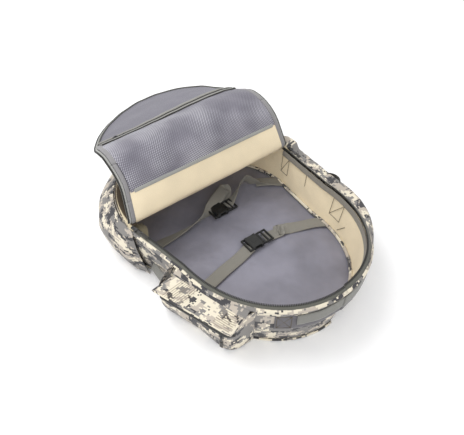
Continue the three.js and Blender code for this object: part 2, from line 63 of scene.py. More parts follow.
# ---------------------------------------------------------------- driving dimensions, as in the CAD model
HINGE = Vector(JOINTS["lid_hinge"]["pos_m"])
FOLD_LOW = Vector(JOINTS["lid_fold_low"]["pos_m"])
FOLD_HIGH = Vector(JOINTS["lid_fold_high"]["pos_m"])
BOTTOM_LENGTH = 189 * MM
STRAIGHT_LENGTH = 139 * MM
TOP_LENGTH = 205.5 * MM
HALF_WIDTH_HINGE = 195 * MM
HALF_WIDTH_TOP = 176 * MM
BOTTOM_ROUNDNESS = 2.2
TOP_ROUNDNESS = 2.1
RIM_HEIGHT = 103 * MM
RIM_RISE = 10 * MM
WALL_TOP = 100 * MM
BASE_INSET = 0.06
WALL = 4 * MM
FLOOR_TOP = 19 * MM
LID_FOLD = math.radians(40.5)
LID_LENGTH = STRAIGHT_LENGTH + TOP_LENGTH


# ---------------------------------------------------------------- node helpers
class Paint:
    """A node material under construction: short calls for the nodes that the fabrics share."""

    def __init__(self, name):
        self.material = bpy.data.materials.new(name)
        self.material.use_nodes = True
        self.tree = self.material.node_tree
        self.tree.nodes.clear()
        self.out = self.node("ShaderNodeOutputMaterial")
        self.shader = self.node("ShaderNodeBsdfPrincipled")
        self.link(self.shader.outputs[0], self.out.inputs[0])
        self.coords = self.node("ShaderNodeTexCoord")
        self.uv = self.node("ShaderNodeUVMap", uv_map="UVMap").outputs[0]

    def node(self, kind, **settings):
        made = self.tree.nodes.new(kind)
        for key, value in settings.items():
            setattr(made, key, value)
        return made

    def link(self, source, target):
        self.tree.links.new(source, target)

    def socket(self, value, target):
        if isinstance(value, bpy.types.NodeSocket):
            self.link(value, target)
        else:
            target.default_value = value

    def math(self, operation, a, b=0.0, clamp=False):
        made = self.node("ShaderNodeMath", operation=operation, use_clamp=clamp)
        self.socket(a, made.inputs[0])
        self.socket(b, made.inputs[1])
        return made.outputs[0]

    def vector(self, operation, a, b):
        made = self.node("ShaderNodeVectorMath", operation=operation)
        self.socket(a, made.inputs[0])
        self.socket(b, made.inputs[1])
        return made.outputs[0]

    def noise(self, vector, scale, detail=2.0, roughness=0.5, distortion=0.0):
        made = self.node("ShaderNodeTexNoise")
        self.link(vector, made.inputs["Vector"])
        made.inputs["Scale"].default_value = scale
        made.inputs["Detail"].default_value = detail
        made.inputs["Roughness"].default_value = roughness
        made.inputs["Distortion"].default_value = distortion
        return made.outputs[0]

    def mix(self, factor, a, b):
        made = self.node("ShaderNodeMix", data_type="RGBA")
        self.socket(factor, made.inputs[0])
        self.socket(a, made.inputs[6])
        self.socket(b, made.inputs[7])
        return made.outputs[2]

    def ramp(self, factor, low, high):
        """0 below low, 1 above high."""
        made = self.node("ShaderNodeMapRange", clamp=True)
        self.link(factor, made.inputs[0])
        made.inputs[1].default_value = low
        made.inputs[2].default_value = high
        return made.outputs[0]

    def stripes(self, vector, axis, pitch):
        """A smooth 0 to 1 wave across one axis of the coordinates, pitch in metres."""
        parts = self.node("ShaderNodeSeparateXYZ")
        self.link(vector, parts.inputs[0])
        turn = self.math("MULTIPLY", parts.outputs[axis], 2 * math.pi / pitch)
        wave = self.math("SINE", turn)
        return self.half(wave)

    def half(self, wave):
        return self.math("ADD", self.math("MULTIPLY", wave, 0.5), 0.5)

    def bump(self, height, strength, distance):
        made = self.node("ShaderNodeBump")
        made.inputs["Strength"].default_value = strength
        made.inputs["Distance"].default_value = distance
        self.link(height, made.inputs["Height"])
        self.link(made.outputs[0], self.shader.inputs["Normal"])


def rgb(red, green, blue):
    """An sRGB colour from 0 to 255 as linear RGBA."""
    linear = [(c / 255 / 12.92) if c < 10 else ((c / 255 + 0.055) / 1.055) ** 2.4 for c in (red, green, blue)]
    return (*linear, 1.0)


def shade(color, factor):
    return (*(min(1.0, c * factor) for c in color[:3]), 1.0)


def finish_fabric(paint, color, coords, weave, rough, tone_and_sheen, bump, sheen, folds=0.0):
    """Adds the thread weave, the slow colour variation and the roughness that every cloth here has; where the
    slow variation is strong, as on the floor cloth, it is painted sheen, lighter and darker patches of light.
    """
    warp = paint.stripes(coords, 0, weave)
    weft = paint.stripes(coords, 1, weave)
    threads = paint.math("MULTIPLY", warp, weft)
    slow = paint.noise(paint.coords.outputs["Object"], 14.0, 3.0)
    tone = paint.ramp(slow, 0.3, 0.7)
    dark = color
    if isinstance(color, tuple):
        dark = paint.mix(tone, shade(color, 1 - tone_and_sheen), shade(color, 1 + tone_and_sheen))
    if not isinstance(color, tuple):
        darker = paint.node("ShaderNodeMix", data_type="RGBA", blend_type="MULTIPLY")
        darker.inputs[0].default_value = 1.0
        paint.link(color, darker.inputs[6])
        low = 1 - 2 * tone_and_sheen
        paint.link(paint.mix(tone, (low, low, low, 1), (1, 1, 1, 1)), darker.inputs[7])
        dark = darker.outputs[2]
    thread_tone = paint.mix(threads, (0.86, 0.86, 0.86, 1), (1, 1, 1, 1))
    woven = paint.node("ShaderNodeMix", data_type="RGBA", blend_type="MULTIPLY")
    woven.inputs[0].default_value = 1.0
    paint.link(dark, woven.inputs[6])
    paint.link(thread_tone, woven.inputs[7])
    paint.link(woven.outputs[2], paint.shader.inputs["Base Color"])
    rough_low = paint.math("MULTIPLY", slow, 0.16)
    paint.link(paint.math("ADD", rough_low, rough - 0.08), paint.shader.inputs["Roughness"])
    crumple = paint.noise(paint.coords.outputs["Object"], 60.0, 4.0, 0.6)
    height = paint.math("ADD", paint.math("MULTIPLY", threads, 0.25), crumple)
    if folds:
        broad = paint.noise(paint.coords.outputs["Object"], 13.0, 2.0, 0.45, 0.6)
        height = paint.math("ADD", height, paint.math("MULTIPLY", broad, folds))
    paint.bump(height, bump, 0.6 * MM)
    paint.shader.inputs["Sheen Weight"].default_value = sheen
    paint.shader.inputs["Sheen Roughness"].default_value = 0.5


def fabric_material(name, color, weave=1.0 * MM, rough=0.85, tone_and_sheen=0.07, bump=0.5, sheen=0.15, flat=True,
                    folds=0.0):
    paint = Paint(name)
    coords = paint.uv if flat else paint.coords.outputs["Object"]
    finish_fabric(paint, color, coords, weave, rough, tone_and_sheen, bump, sheen, folds)
    return paint.material


CAMO_CREAM = rgb(232, 223, 202)
CAMO_SAND = rgb(191, 181, 168)
CAMO_GREY = rgb(134, 131, 128)
CAMO_DARK = rgb(68, 67, 70)


def camo_material(name, pixel=3.1 * MM, cream=0.0, dark=0.0, pleat_shade=None):
    """Digital camouflage: blotches snapped to square cells, in four colours.

    The pleat list holds dark lines of painted shade in the grooves of the flap's pleats, each (u from, u to,
    axis, pitch).
    """
    paint = Paint(name)
    uv = paint.uv
    cells = paint.vector("SNAP", uv, (pixel, pixel, pixel))
    stretched = paint.vector("MULTIPLY", cells, (0.8, 1.0, 1.0))
    color = CAMO_CREAM
    layers = [
        (CAMO_SAND, 34.0, 0.497 + cream, (1.7, 4.1, 0.0)),
        (CAMO_GREY, 40.0, 0.530 + cream, (7.9, 2.3, 0.0)),
        (CAMO_DARK, 44.0, 0.566 - dark, (3.3, 9.7, 0.0)),
    ]
    for layer_color, scale, level, offset in layers:
        field = paint.noise(paint.vector("ADD", stretched, offset), scale, 4.0, 0.66)
        color = paint.mix(paint.math("GREATER_THAN", field, level), color, layer_color)
    for low, high, axis, pitch in pleat_shade or []:
        split = paint.node("ShaderNodeSeparateXYZ")
        paint.link(uv, split.inputs[0])
        inside = paint.math("MULTIPLY", paint.math("GREATER_THAN", split.outputs[0], low),
                            paint.math("LESS_THAN", split.outputs[0], high))
        line = paint.math("LESS_THAN", paint.stripes(uv, axis, pitch), 0.3)
        shown = paint.math("MULTIPLY", paint.math("MULTIPLY", inside, line), 0.6)
        # Painted shade: these lines darken the camouflage where the flap's pleats fold.
        color = paint.mix(shown, color, rgb(128, 113, 92))
    finish_fabric(paint, color, uv, 1.1 * MM, 0.86, 0.06, 0.55, 0.12)
    return paint.material


def mesh_material(name):
    """Knitted mesh: a staggered field of small bright dots over a darker cloth."""
    paint = Paint(name)
    uv = paint.uv
    pitch = 4.3 * MM
    across = paint.stripes(uv, 0, pitch)
    along = paint.stripes(uv, 1, pitch)
    difference = paint.math("ABSOLUTE", paint.math("SUBTRACT", across, along))
    knots = paint.ramp(difference, 0.25, 0.85)
    slow = paint.noise(paint.coords.outputs["Object"], 16.0, 3.0)
    base = paint.mix(paint.ramp(slow, 0.3, 0.7), rgb(74, 72, 84), rgb(104, 101, 113))
    lit = paint.mix(paint.ramp(paint.noise(paint.coords.outputs["Object"], 9.0, 2.0), 0.4, 0.62),
                    rgb(118, 116, 127), rgb(212, 211, 219))
    paint.link(paint.mix(knots, base, lit), paint.shader.inputs["Base Color"])
    paint.shader.inputs["Roughness"].default_value = 0.62
    paint.shader.inputs["Sheen Weight"].default_value = 0.3
    paint.bump(knots, 0.7, 0.7 * MM)
    return paint.material


def webbing_material(name, color, rib=1.9 * MM):
    """Ribbed webbing: ribs across its width, a darker line along each edge comes from the shape."""
    paint = Paint(name)
    uv = paint.uv
    ribs = paint.stripes(uv, 0, rib)
    rows = paint.stripes(uv, 1, rib * 1.6)
    slow = paint.noise(paint.coords.outputs["Object"], 40.0, 3.0)
    tone = paint.mix(paint.ramp(slow, 0.3, 0.7), shade(color, 0.9), shade(color, 1.1))
    lit = paint.math("MULTIPLY", ribs, rows)
    paint.link(paint.mix(lit, shade(color, 0.72), tone), paint.shader.inputs["Base Color"])
    paint.shader.inputs["Roughness"].default_value = 0.72
    paint.shader.inputs["Sheen Weight"].default_value = 0.2
    paint.bump(lit, 0.6, 0.5 * MM)
    return paint.material


def hard_material(name, color, rough, metallic, scale=700.0):
    """Moulded plastic or cast metal, with fine grain and worn, lighter patches."""
    paint = Paint(name)
    place = paint.coords.outputs["Object"]
    grain = paint.noise(place, scale, 3.0)
    wear = paint.ramp(paint.noise(place, 120.0, 4.0, 0.7), 0.55, 0.75)
    paint.link(paint.mix(wear, color, shade(color, 1.7)), paint.shader.inputs["Base Color"])
    graded = paint.math("ADD", paint.math("MULTIPLY", grain, 0.25), rough - 0.12)
    paint.link(graded, paint.shader.inputs["Roughness"])
    paint.shader.inputs["Metallic"].default_value = metallic
    paint.bump(grain, 0.2, 0.15 * MM)
    return paint.material


CAMO = camo_material("camo", cream=-0.024, dark=0.015)
CAMO_PIPING = camo_material("camo_piping", 3.2 * MM, cream=0.03, dark=0.03)
TAN = fabric_material("tan_lining", rgb(244, 228, 196), 0.9 * MM, 0.82, 0.06, 0.45, 0.1, folds=9.0)
CREAM_TAPE = fabric_material("cream_binding", rgb(214, 200, 168), 1.0 * MM, 0.85, 0.08, 0.5, 0.1)
GREY_LINING = fabric_material("grey_lining", rgb(106, 104, 115), 0.9 * MM, 0.62, 0.05, 0.4, 0.25, folds=6.0)
# The strong slow colour variation here is painted sheen: lighter and darker patches standing in for light on
# the cloth's folds.
FLOOR_CLOTH = fabric_material("floor_cloth", rgb(128, 127, 140), 1.0 * MM, 0.42, 0.22, 0.5, 0.35, flat=False,
                              folds=26.0)
PAD_CLOTH = fabric_material("pad_cloth", rgb(96, 95, 98), 1.6 * MM, 0.85, 0.07, 0.9, 0.2, flat=False)
MESH = mesh_material("mesh_knit")
BINDING = webbing_material("grey_binding", rgb(150, 148, 150), 1.3 * MM)
LIGHT_PIPING = webbing_material("light_piping", rgb(168, 168, 164), 1.3 * MM)
TAPE = webbing_material("zipper_tape", rgb(96, 96, 88), 1.2 * MM)
DARK_TAPE = webbing_material("dark_tape", rgb(46, 43, 38), 1.2 * MM)
WEBBING = webbing_material("webbing", rgb(124, 121, 108))
FACING = webbing_material("zipper_facing", rgb(140, 135, 126), 1.2 * MM)
LIGHT_WEBBING = webbing_material("light_webbing", rgb(128, 127, 121))
PATCH_WEBBING = webbing_material("patch_webbing", rgb(96, 93, 98))
STRAP_WEB = webbing_material("strap_webbing", rgb(139, 136, 128), 1.7 * MM)
THREAD = hard_material("thread", rgb(96, 88, 70), 0.8, 0.0)
TEETH = hard_material("zipper_coil", rgb(40, 40, 38), 0.45, 0.0)
FLAP_UV = (3.92, 4.34)
# Lighter camouflage for the flap, with lines of painted shade along its pleats.
CAMO_FLAP = camo_material("camo_flap", cream=0.03, dark=-0.03, pleat_shade=[
    (FLAP_UV[0] + 0.018, FLAP_UV[0] + 0.062, 0, 4.6 * MM),
    (FLAP_UV[0] + 0.125, FLAP_UV[0] + 0.16, 1, 5.0 * MM),
])
# Olive brown of painted shade: the tan lining beside the near hinge as it looks in shadow.
PAINTED_SHADE_FACING = fabric_material("painted_shade_facing", rgb(104, 96, 76), 1.0 * MM, 0.85, 0.08, 0.5, 0.1)
ZIP_BAND = webbing_material("zip_band", rgb(139, 137, 130), 1.4 * MM)
# Dark brown cloth of painted shade: the shadow in the gap under the open lid and inside the corner pockets'
# mouths.
PAINTED_SHADE_CLOTH = fabric_material("painted_shade_cloth", rgb(70, 58, 42), 0.9 * MM, 0.9, 0.06, 0.4, 0.05)
PLASTIC = hard_material("black_acetal", rgb(26, 27, 27), 0.42, 0.0)
METAL = hard_material("dark_die_cast", rgb(84, 84, 84), 0.36, 0.85)


# ---------------------------------------------------------------- mesh helpers
def attach(made, slot, body, *nodes):
    """Gives a piece its body, and hides the CAD nodes, if any, that it stands for."""
    known = [node for node in nodes if node]
    if known:
        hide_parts(*known)
    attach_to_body(made, body)


def make_object(name, points, faces, uvs, material):
    """A smooth mesh object. uvs hold one (u, v) in metres per face corner, in the order of the faces."""
    mesh = bpy.data.meshes.new(name)
    mesh.from_pydata([tuple(p) for p in points], [], faces)
    layer = mesh.uv_layers.new(name="UVMap")
    flat = [value for uv in uvs for value in uv]
    layer.data.foreach_set("uv", flat)
    mesh.materials.append(material)
    mesh.shade_smooth()
    mesh.update()
    made = bpy.data.objects.new(name, mesh)
    bpy.context.scene.collection.objects.link(made)
    return made


def thicken(made, thickness, offset=-1.0):
    mesh = made.data
    uses = [0] * len(mesh.edges)
    for loop in mesh.loops:
        uses[loop.edge_index] += 1
    for edge, count in zip(mesh.edges, uses):
        edge.use_edge_sharp = count == 1
    solid = made.modifiers.new("thickness", "SOLIDIFY")
    solid.thickness = thickness
    solid.offset = offset
    solid.use_even_offset = False
    return made


def quad_area(a, b, c, d):
    return ((c - a).cross(d - b)).length / 2


def cloth_cut(rows, wrap, flat):
    """(width, length) and area of the cloth that a panel was cut from."""
    pattern = [[Vector((s, y, 0)) for s, y in line] for line in flat] if flat else rows
    widths, area = [], 0.0
    for row in pattern:
        pairs = list(zip(row, row[1:])) + ([(row[-1], row[0])] if wrap and not flat else [])
        widths.append(sum((b - a).length for a, b in pairs))
    lengths = [sum((b[j] - a[j]).length for a, b in zip(pattern, pattern[1:]))
               for j in range(len(pattern[0]))]
    for upper, lower in zip(pattern, pattern[1:]):
        count = len(upper)
        for j in range(count if wrap and not flat else count - 1):
            k = (j + 1) % count
            area += quad_area(upper[j], upper[k], lower[k], lower[j])
    width, length = max(widths), max(lengths)
    return (width, length), min(area, width * length)


def grid_object(name, rows, material, thickness, wrap=False, shift=(0.0, 0.0), flat_uv=None, offset=-1.0):
    """A cloth panel from rows of points, closed round when wrap is set. Its UVs are its lengths in metres."""
    count = len(rows[0])
    points = [p for row in rows for p in row]
    along = [[0.0] * (count + 1) for _ in rows]
    for i, row in enumerate(rows):
        for j in range(1, count + 1):
            along[i][j] = along[i][j - 1] + (row[j % count] - row[j - 1]).length
    middle = count // 2
    down = [0.0]
    for i in range(1, len(rows)):
        down.append(down[-1] + (rows[i][middle] - rows[i - 1][middle]).length)
    faces, uvs = [], []
    for i in range(len(rows) - 1):
        for j in range(count if wrap else count - 1):
            nxt = (j + 1) % count
            faces.append((i * count + j, i * count + nxt, (i + 1) * count + nxt, (i + 1) * count + j))
            corners = [(i, j), (i, j + 1), (i + 1, j + 1), (i + 1, j)]
            for a, b in corners:
                if flat_uv:
                    u, v = flat_uv[a][b % count]
                else:
                    u, v = along[0][b], down[a]
                uvs.append((u + shift[0], v + shift[1]))
    made = thicken(make_object(name, points, faces, uvs, material), thickness, offset)
    size, area = cloth_cut(rows, wrap, flat_uv)
    return made


def sweep(name, path, normals, section, material, closed=False):
    """A section of (across, outward) points carried along a path, with a normal facing outwards at each."""
    count = len(section)
    lengths = [0.0]
    for a, b in zip(path, path[1:]):
        lengths.append(lengths[-1] + (b - a).length)
    around = [0.0]
    for a, b in zip(section, section[1:] + section[:1]):
        around.append(around[-1] + math.hypot(b[0] - a[0], b[1] - a[1]))
    points = []
    last = len(path) - 1
    for i, place in enumerate(path):
        before = path[i - 1] if i or closed else path[0]
        after = path[(i + 1) % len(path)] if i < last or closed else path[last]
        tangent = (after - before).normalized()
        normal = (normals[i] - tangent * normals[i].dot(tangent)).normalized()
        across = tangent.cross(normal)
        points += [place + across * a + normal * b for a, b in section]
    faces, uvs = [], []
    total = lengths[-1] + (path[0] - path[-1]).length
    rings = len(path) if closed else len(path) - 1
    for i in range(rings):
        nxt = (i + 1) % len(path)
        u0, u1 = lengths[i], lengths[nxt] if nxt else total
        for j in range(count):
            k = (j + 1) % count
            faces.append((i * count + j, nxt * count + j, nxt * count + k, i * count + k))
            uvs += [(u0, around[j]), (u1, around[j]), (u1, around[j + 1]), (u0, around[j + 1])]
    if not closed:
        faces.append(tuple(range(count)))
        uvs += [(0.0, around[j]) for j in range(count)]
        faces.append(tuple(reversed([last * count + j for j in range(count)])))
        uvs += [(lengths[-1], around[j]) for j in range(count)]
    return make_object(name, points, faces, uvs, material)


def round_section(radius, sides=10):
    turns = [2 * math.pi * i / sides for i in range(sides)]
    return [(radius * math.cos(turn), radius * math.sin(turn)) for turn in turns]


def flat_section(width, thickness, crown=0.0, steps=6):
    """A flat band with rounded edges. crown lifts its middle."""
    half = width / 2
    edge = thickness / 2
    top, bottom = [], []
    for i in range(steps + 1):
        a = -half + edge + (width - 2 * edge) * i / steps
        lift = crown * (1 - (a / half) ** 2)
        top.append((a, lift + edge))
        bottom.append((a, lift - edge))
    left = [(-half, 0.0)]
    right = [(half, 0.0)]
    return left + bottom + right + top[::-1]


def join(name, objects):
    """Joins objects into the first and names it."""
    bpy.ops.object.select_all(action="DESELECT")
    for item in objects:
        item.select_set(True)
    bpy.context.view_layer.objects.active = objects[0]
    bpy.ops.object.join()
    objects[0].name = name
    return objects[0]


def blocks(name, places, size, material):
    """Small bevelled blocks, one at each (point, along, up) place, in one mesh."""
    points, faces, uvs = [], [], []
    long_half, wide_half, high = size[0] / 2, size[1] / 2, size[2]
    ring = [(-1, -1), (1, -1), (1, 1), (-1, 1)]
    for place, along, up in places:
        side = up.cross(along).normalized()
        base = len(points)
        for level, inset in ((0.0, 1.0), (0.7, 1.0), (1.0, 0.6)):
            for a, b in ring:
                flat = place + along * a * long_half * inset + side * b * wide_half * inset
                points.append(flat + up * high * level)
        for row in (0, 4):
            for j in range(4):
                k = (j + 1) % 4
                faces.append((base + row + j, base + row + k, base + row + 4 + k, base + row + 4 + j))
        faces.append((base + 8, base + 9, base + 10, base + 11))
        faces.append((base + 3, base + 2, base + 1, base))
        uvs += [(0.0, 0.0)] * 40
    made = make_object(name, points, faces, uvs, material)
    made.data.shade_flat()
    return made


def path_places(path, ups, pitch):
    """Evenly spaced (point, along, up) places on a path."""
    places, carried = [], pitch / 2
    for i in range(len(path) - 1):
        step = path[i + 1] - path[i]
        length = step.length
        while carried < length:
            share = carried / length
            up = ups[i].lerp(ups[i + 1], share).normalized()
            places.append((path[i] + step * share, step.normalized(), up))
            carried += pitch
        carried -= length
    return places


def ripple(x, y, z, seed=0.0):
    """Smooth noise from -1 to 1."""
    return noise.noise(Vector((x, y, z + seed)))


# ---------------------------------------------------------------- rim outline, as in the CAD model
def rim_point(v, side):
    if v <= 1:
        turn = v * math.pi / 2
        x = HINGE.x - BOTTOM_LENGTH * max(math.cos(turn), 0.0) ** (2 / BOTTOM_ROUNDNESS)
        return Vector((x, side * HALF_WIDTH_HINGE * math.sin(turn) ** (2 / BOTTOM_ROUNDNESS), 0))
    if v <= 2:
        half = HALF_WIDTH_HINGE + (HALF_WIDTH_TOP - HALF_WIDTH_HINGE) * (v - 1)
        return Vector((HINGE.x + (v - 1) * STRAIGHT_LENGTH, side * half, 0))
    turn = (3 - min(v, 3)) * math.pi / 2
    reach = TOP_LENGTH * max(math.cos(turn), 0.0) ** (2 / TOP_ROUNDNESS)
    half = HALF_WIDTH_TOP * max(math.sin(turn), 0.0) ** (2 / TOP_ROUNDNESS)
    return Vector((HINGE.x + STRAIGHT_LENGTH + reach, side * half, 0))


def rim_normal(v, side):
    if v <= 0:
        return Vector((-1, 0, 0))
    if v >= 3:
        return Vector((1, 0, 0))
    run = rim_point(min(v + 0.01, 3), side) - rim_point(max(v - 0.01, 0), side)
    return (Vector((run.y, -run.x, 0)) * -side).normalized()


def rim_height(x):
    along = max(0.0, x - HINGE.x) / LID_LENGTH
    return RIM_HEIGHT + RIM_RISE * along


def lean(point):
    """Walls lean outwards from the base to the rim, and the rim climbs towards the top end."""
    scale = 1 - BASE_INSET * (1 - point.z / WALL_TOP)
    return Vector((point.x * scale, point.y * scale, point.z * rim_height(point.x) / RIM_HEIGHT))


def on_wall(v, side, out, z):
    place = rim_point(v, side) + rim_normal(v, side) * out
    return lean(Vector((place.x, place.y, z)))


def loop_stations(bottom=28, straight=16, top=40):
    """(v, side) all round the pack, from the bottom end along the near side and back along the far side."""
    values = [i / bottom for i in range(bottom)]
    values += [1 + i / straight for i in range(straight)]
    values += [2 + i / top for i in range(top + 1)]
    near = [(v, -1) for v in values]
    far = [(v, 1) for v in reversed(values[1:-1])]
    return near + far


def v_range(v0, v1, step=0.03):
    steps = max(2, round(abs(v1 - v0) / step))
    return [v0 + (v1 - v0) * i / steps for i in range(steps + 1)]


# ---------------------------------------------------------------- shell of the pack
def smooth(value, low, high):
    t = min(1.0, max(0.0, (value - low) / (high - low)))
    return t * t * (3 - 2 * t)


BELLY = 4.5 * MM
SLUMP = 9 * MM  # how far the base tucks under, and how far the far wall sags outwards
CREASE, FINE_CREASE = 1.6 * MM, 0.7 * MM


def wall_swell(v, side, height):
    """How far the padded wall stands out of its flat panel: a soft belly, and upright creases."""
    belly = BELLY * math.sin(math.pi * min(1.0, height * 1.05)) ** 0.8 if 0 < height < 0.95 else 0.0
    belly -= SLUMP * (1 - height) * smooth(v, 2.55, 2.85)
    if side < 0:
        belly *= 1 - 1.1 * smooth(v, 2.3, 2.6)
        belly -= SLUMP * (1 - height) * smooth(v, 1.12, 1.3) * (1 - smooth(v, 1.6, 1.8))
    else:
        slump = smooth(v, 0.85, 1.05) * (1 - smooth(v, 2.3, 2.7))
        belly += SLUMP * slump * smooth(height, 0.3, 0.85)
    crease = CREASE * ripple(v * 9, height * 1.3, side * 4.0) * math.sin(math.pi * min(1, max(0, height)))
    fine = FINE_CREASE * ripple(v * 24, height * 3.0, side * 9.0)
    return belly + crease + fine


def build_wall_skin(stations):
    """The camouflage wall outside, in one piece all round."""
    rows = []
    for i in range(17):
        height = i / 16
        tuck = -3.5 * MM * (1 - height) ** 5
        rows.append([on_wall(v, s, wall_swell(v, s, height) + tuck - 0.5 * MM, (1.2 + 98 * height) * MM)
                     for v, s in stations])
    outer = grid_object("gusset_camo", rows, CAMO, 1.6 * MM, wrap=True, offset=1.0)
    names = [f"wall_{part}_{side}" for part in ("bottom", "side", "top") for side in ("near", "far")]
    attach(outer, "camo", "pack", *names)


def build_wall_lining(stations):
    rows = []
    for i in range(15):
        height = i / 14
        z = (FLOOR_TOP / MM + 1 + (96 - FLOOR_TOP / MM) * height) * MM
        row = []
        for v, s in stations:
            slack = 1.9 * MM * ripple(v * 7.0, height * 1.2, s * 3.0 + 20) * math.sin(math.pi * height) ** 0.6
            slack += 0.8 * MM * ripple(v * 19.0, height * 3.5, s * 5.0 + 40)
            row.append(on_wall(v, s, -WALL - 0.8 * MM + slack - 2.0 * MM * (1 - height), z))
        rows.append(row)
    inner = grid_object("wall_lining", rows, TAN, 0.9 * MM, wrap=True, offset=1.0)
    attach(inner, "tan_lining", "pack")


def build_wall_pipings(stations):
    """The rolls along the wall's foot, outside and inside."""
    ring = [on_wall(v, s, wall_swell(v, s, 0.0) + 0.4 * MM, 2.2 * MM) for v, s in stations]
    out = [rim_normal(v, s) for v, s in stations]
    piping = sweep("base_piping", ring, out, round_section(2.1 * MM), CAMO_PIPING, closed=True)
    attach(piping, "camo", "pack")
    ring = [on_wall(v, s, -WALL - 6.0 * MM, FLOOR_TOP + 3.2 * MM) for v, s in stations]
    inside = sweep("floor_piping", ring, out, round_section(3.4 * MM), CAMO_PIPING, closed=True)
    attach(inside, "camo", "pack")


def build_gusset():
    stations = loop_stations()
    build_wall_skin(stations)
    build_wall_lining(stations)
    build_wall_pipings(stations)


def build_wall_stitching():
    """Seams and box stitches where webbing outside is sewn through the far lining."""
    def line(v0, z0, v1, z1, side):
        path = []
        steps = 8
        for i in range(steps + 1):
            v, z = v0 + (v1 - v0) * i / steps, z0 + (z1 - z0) * i / steps
            path.append(on_wall(v, side, -WALL - 3.0 * MM, z * MM))
        return path, [-rim_normal(v0 + (v1 - v0) * i / steps, side) for i in range(steps + 1)]

    parts = []
    seams = []
    for centre in (1.09, 2.14):
        half = 0.085 if centre < 2 else 0.05
        low, high = 48, 88
        a, b = centre - half, centre + half
        seams += [(a, low, a, high), (b, low, b, high), (a, low, b, low)]
        seams += [(a, high, b, high), (a, low, b, high)]
    seams += [(2.2, 30, 2.26, 52), (1.62, 60, 1.61, 95)]
    for side in (1, -1):
        for n, (v0, z0, v1, z1) in enumerate(seams):
            path, ups = line(v0, z0, v1, z1, side)
            section = flat_section(1.1 * MM, 0.8 * MM, steps=2)
            parts.append(sweep(f"stitch_{side}_{n}", path, ups, section, THREAD))
    stitching = join("wall_stitching", parts)
    attach(stitching, "tan_lining", "pack")


TOOTH_PITCH, SMALL_PITCH = 2.7 * MM, 2.6 * MM
# Each half of the rim zipper, in millimetres: its side, the tape's width, and the coil's place out and up.
RIM_ZIPPER = {"near": (-1, 9.5, -6.2, 104.2), "far": (1, 13, -7.6, 105.2)}


def build_rim_zipper():
    values = v_range(1.0, 3.0, 0.03)
    for label, (side, wide, coil_out, coil_high) in RIM_ZIPPER.items():
        path, ups, edge = [], [], []
        for v in values:
            out = rim_normal(v, side)
            path.append(on_wall(v, side, -2.0 * MM, 101.5 * MM))
            ups.append((out * 0.75 + Vector((0, 0, 1))).normalized())
            edge.append(on_wall(v, side, coil_out * MM, coil_high * MM))
        tape = sweep(f"rim_tape_{label}", path, ups, flat_section(wide * MM, 1.2 * MM, 0.5 * MM), TAPE)
        teeth = path_places(edge, ups, TOOTH_PITCH)
        coil = blocks(f"rim_coil_{label}", teeth, (1.7 * MM, 4.0 * MM, 1.6 * MM), TEETH)
        made = join(f"rim_zipper_{label}", [tape, coil])
        attach(made, "zipper_tape", "pack", f"rim_zipper_tape_{label}")
        facing, outs = [], []
        for v in values:
            facing.append(on_wall(v, side, -WALL - 3.2 * MM, 93.5 * MM))
            outs.append((-rim_normal(v, side) + Vector((0, 0, 0.25))).normalized())
        inside = sweep(f"rim_facing_{label}", facing, outs, flat_section(12 * MM, 1.3 * MM, 0.6 * MM), FACING)
        attach(inside, "zipper_tape", "pack")
        path = [on_wall(v, side, 2.2 * MM, 98.5 * MM) for v in v_range(0.9, 3.0, 0.03)]
        ups = [(rim_normal(v, side) + Vector((0, 0, 0.9))).normalized() for v in v_range(0.9, 3.0, 0.03)]
        welt = sweep(f"rim_welt_{label}", path, ups, flat_section(7.5 * MM, 2.6 * MM, 0.8 * MM), CAMO_PIPING)
        attach(welt, "camo", "pack")


ROLL_REACH, ROLL_BUNCH = 22, 11  # in millimetres: the shelf's reach, and the heap of cloth beside the hinge


def build_far_roll():
    """The far wall's top edge has slumped outwards and shows as a camouflage shelf outside the zipper."""
    values = v_range(0.86, 2.8, 0.02)
    rows = []
    for i in range(11):
        t = i / 10
        row = []
        for v in values:
            reach = ROLL_REACH * smooth(v, 0.82, 0.95) * (1 - smooth(v, 2.1, 2.68)) + 0.6
            fold = 1.3 * ripple(v * 10, t * 1.5, 31.0) + 0.7 * ripple(v * 27, t * 3, 17.0)
            out = 0.8 + reach * math.sin(min(1.0, t * 1.25) * math.pi / 2) + fold * t
            bunch = ROLL_BUNCH * smooth(v, 0.86, 0.96) * (1 - smooth(v, 1.02, 1.14))
            bunch *= math.sin(math.pi * t) ** 0.6
            z = 100.6 + 1.6 * math.sin(math.pi * min(1, t * 1.2)) - 17 * max(0.0, t - 0.55) ** 1.5 / 0.3
            z += fold * 0.5 + bunch
            row.append(on_wall(v, 1, out * MM, z * MM))
        rows.append(row)
    roll = grid_object("far_rim_roll", rows, CAMO, 1.6 * MM, shift=(1.7, 0.9), offset=0.0)
    attach(roll, "camo", "pack")


def build_hinge_gusset():
    """Facing that lies flat inside the rim next to the near hinge, where the zipper ends; its olive brown is
    painted shade, the tan lining as it looks in shadow there.
    """
    rows = []
    for i in range(7):
        t = i / 6
        row = []
        for v in v_range(0.985, 1.4, 0.015):
            inward = -5 - 23 * t * (1 - smooth(v, 1.04, 1.38))
            row.append(on_wall(v, -1, inward * MM, (98.5 - 6 * t) * MM))
        rows.append(row)
    attach(grid_object("hinge_gusset_near", rows, PAINTED_SHADE_FACING, 1.2 * MM, offset=0.0), "zipper_tape", "pack")


def build_deck_edge():
    """A dark flap along the near edge of the fixed front panel: painted shade, standing for the shadow of the
    open lid.
    """
    rows = []
    for i in range(7):
        t = i / 6
        rows.append([on_wall(v, -1, (-2 - 14 * t) * MM, (104.6 + 2.6 * math.sin(math.pi * t)) * MM)
                     for v in v_range(0.42, 1.04, 0.02)])
    edge = grid_object("deck_edge", rows, PAINTED_SHADE_CLOTH, 1.0 * MM, offset=0.0)
    attach(edge, "tan_lining", "pack")


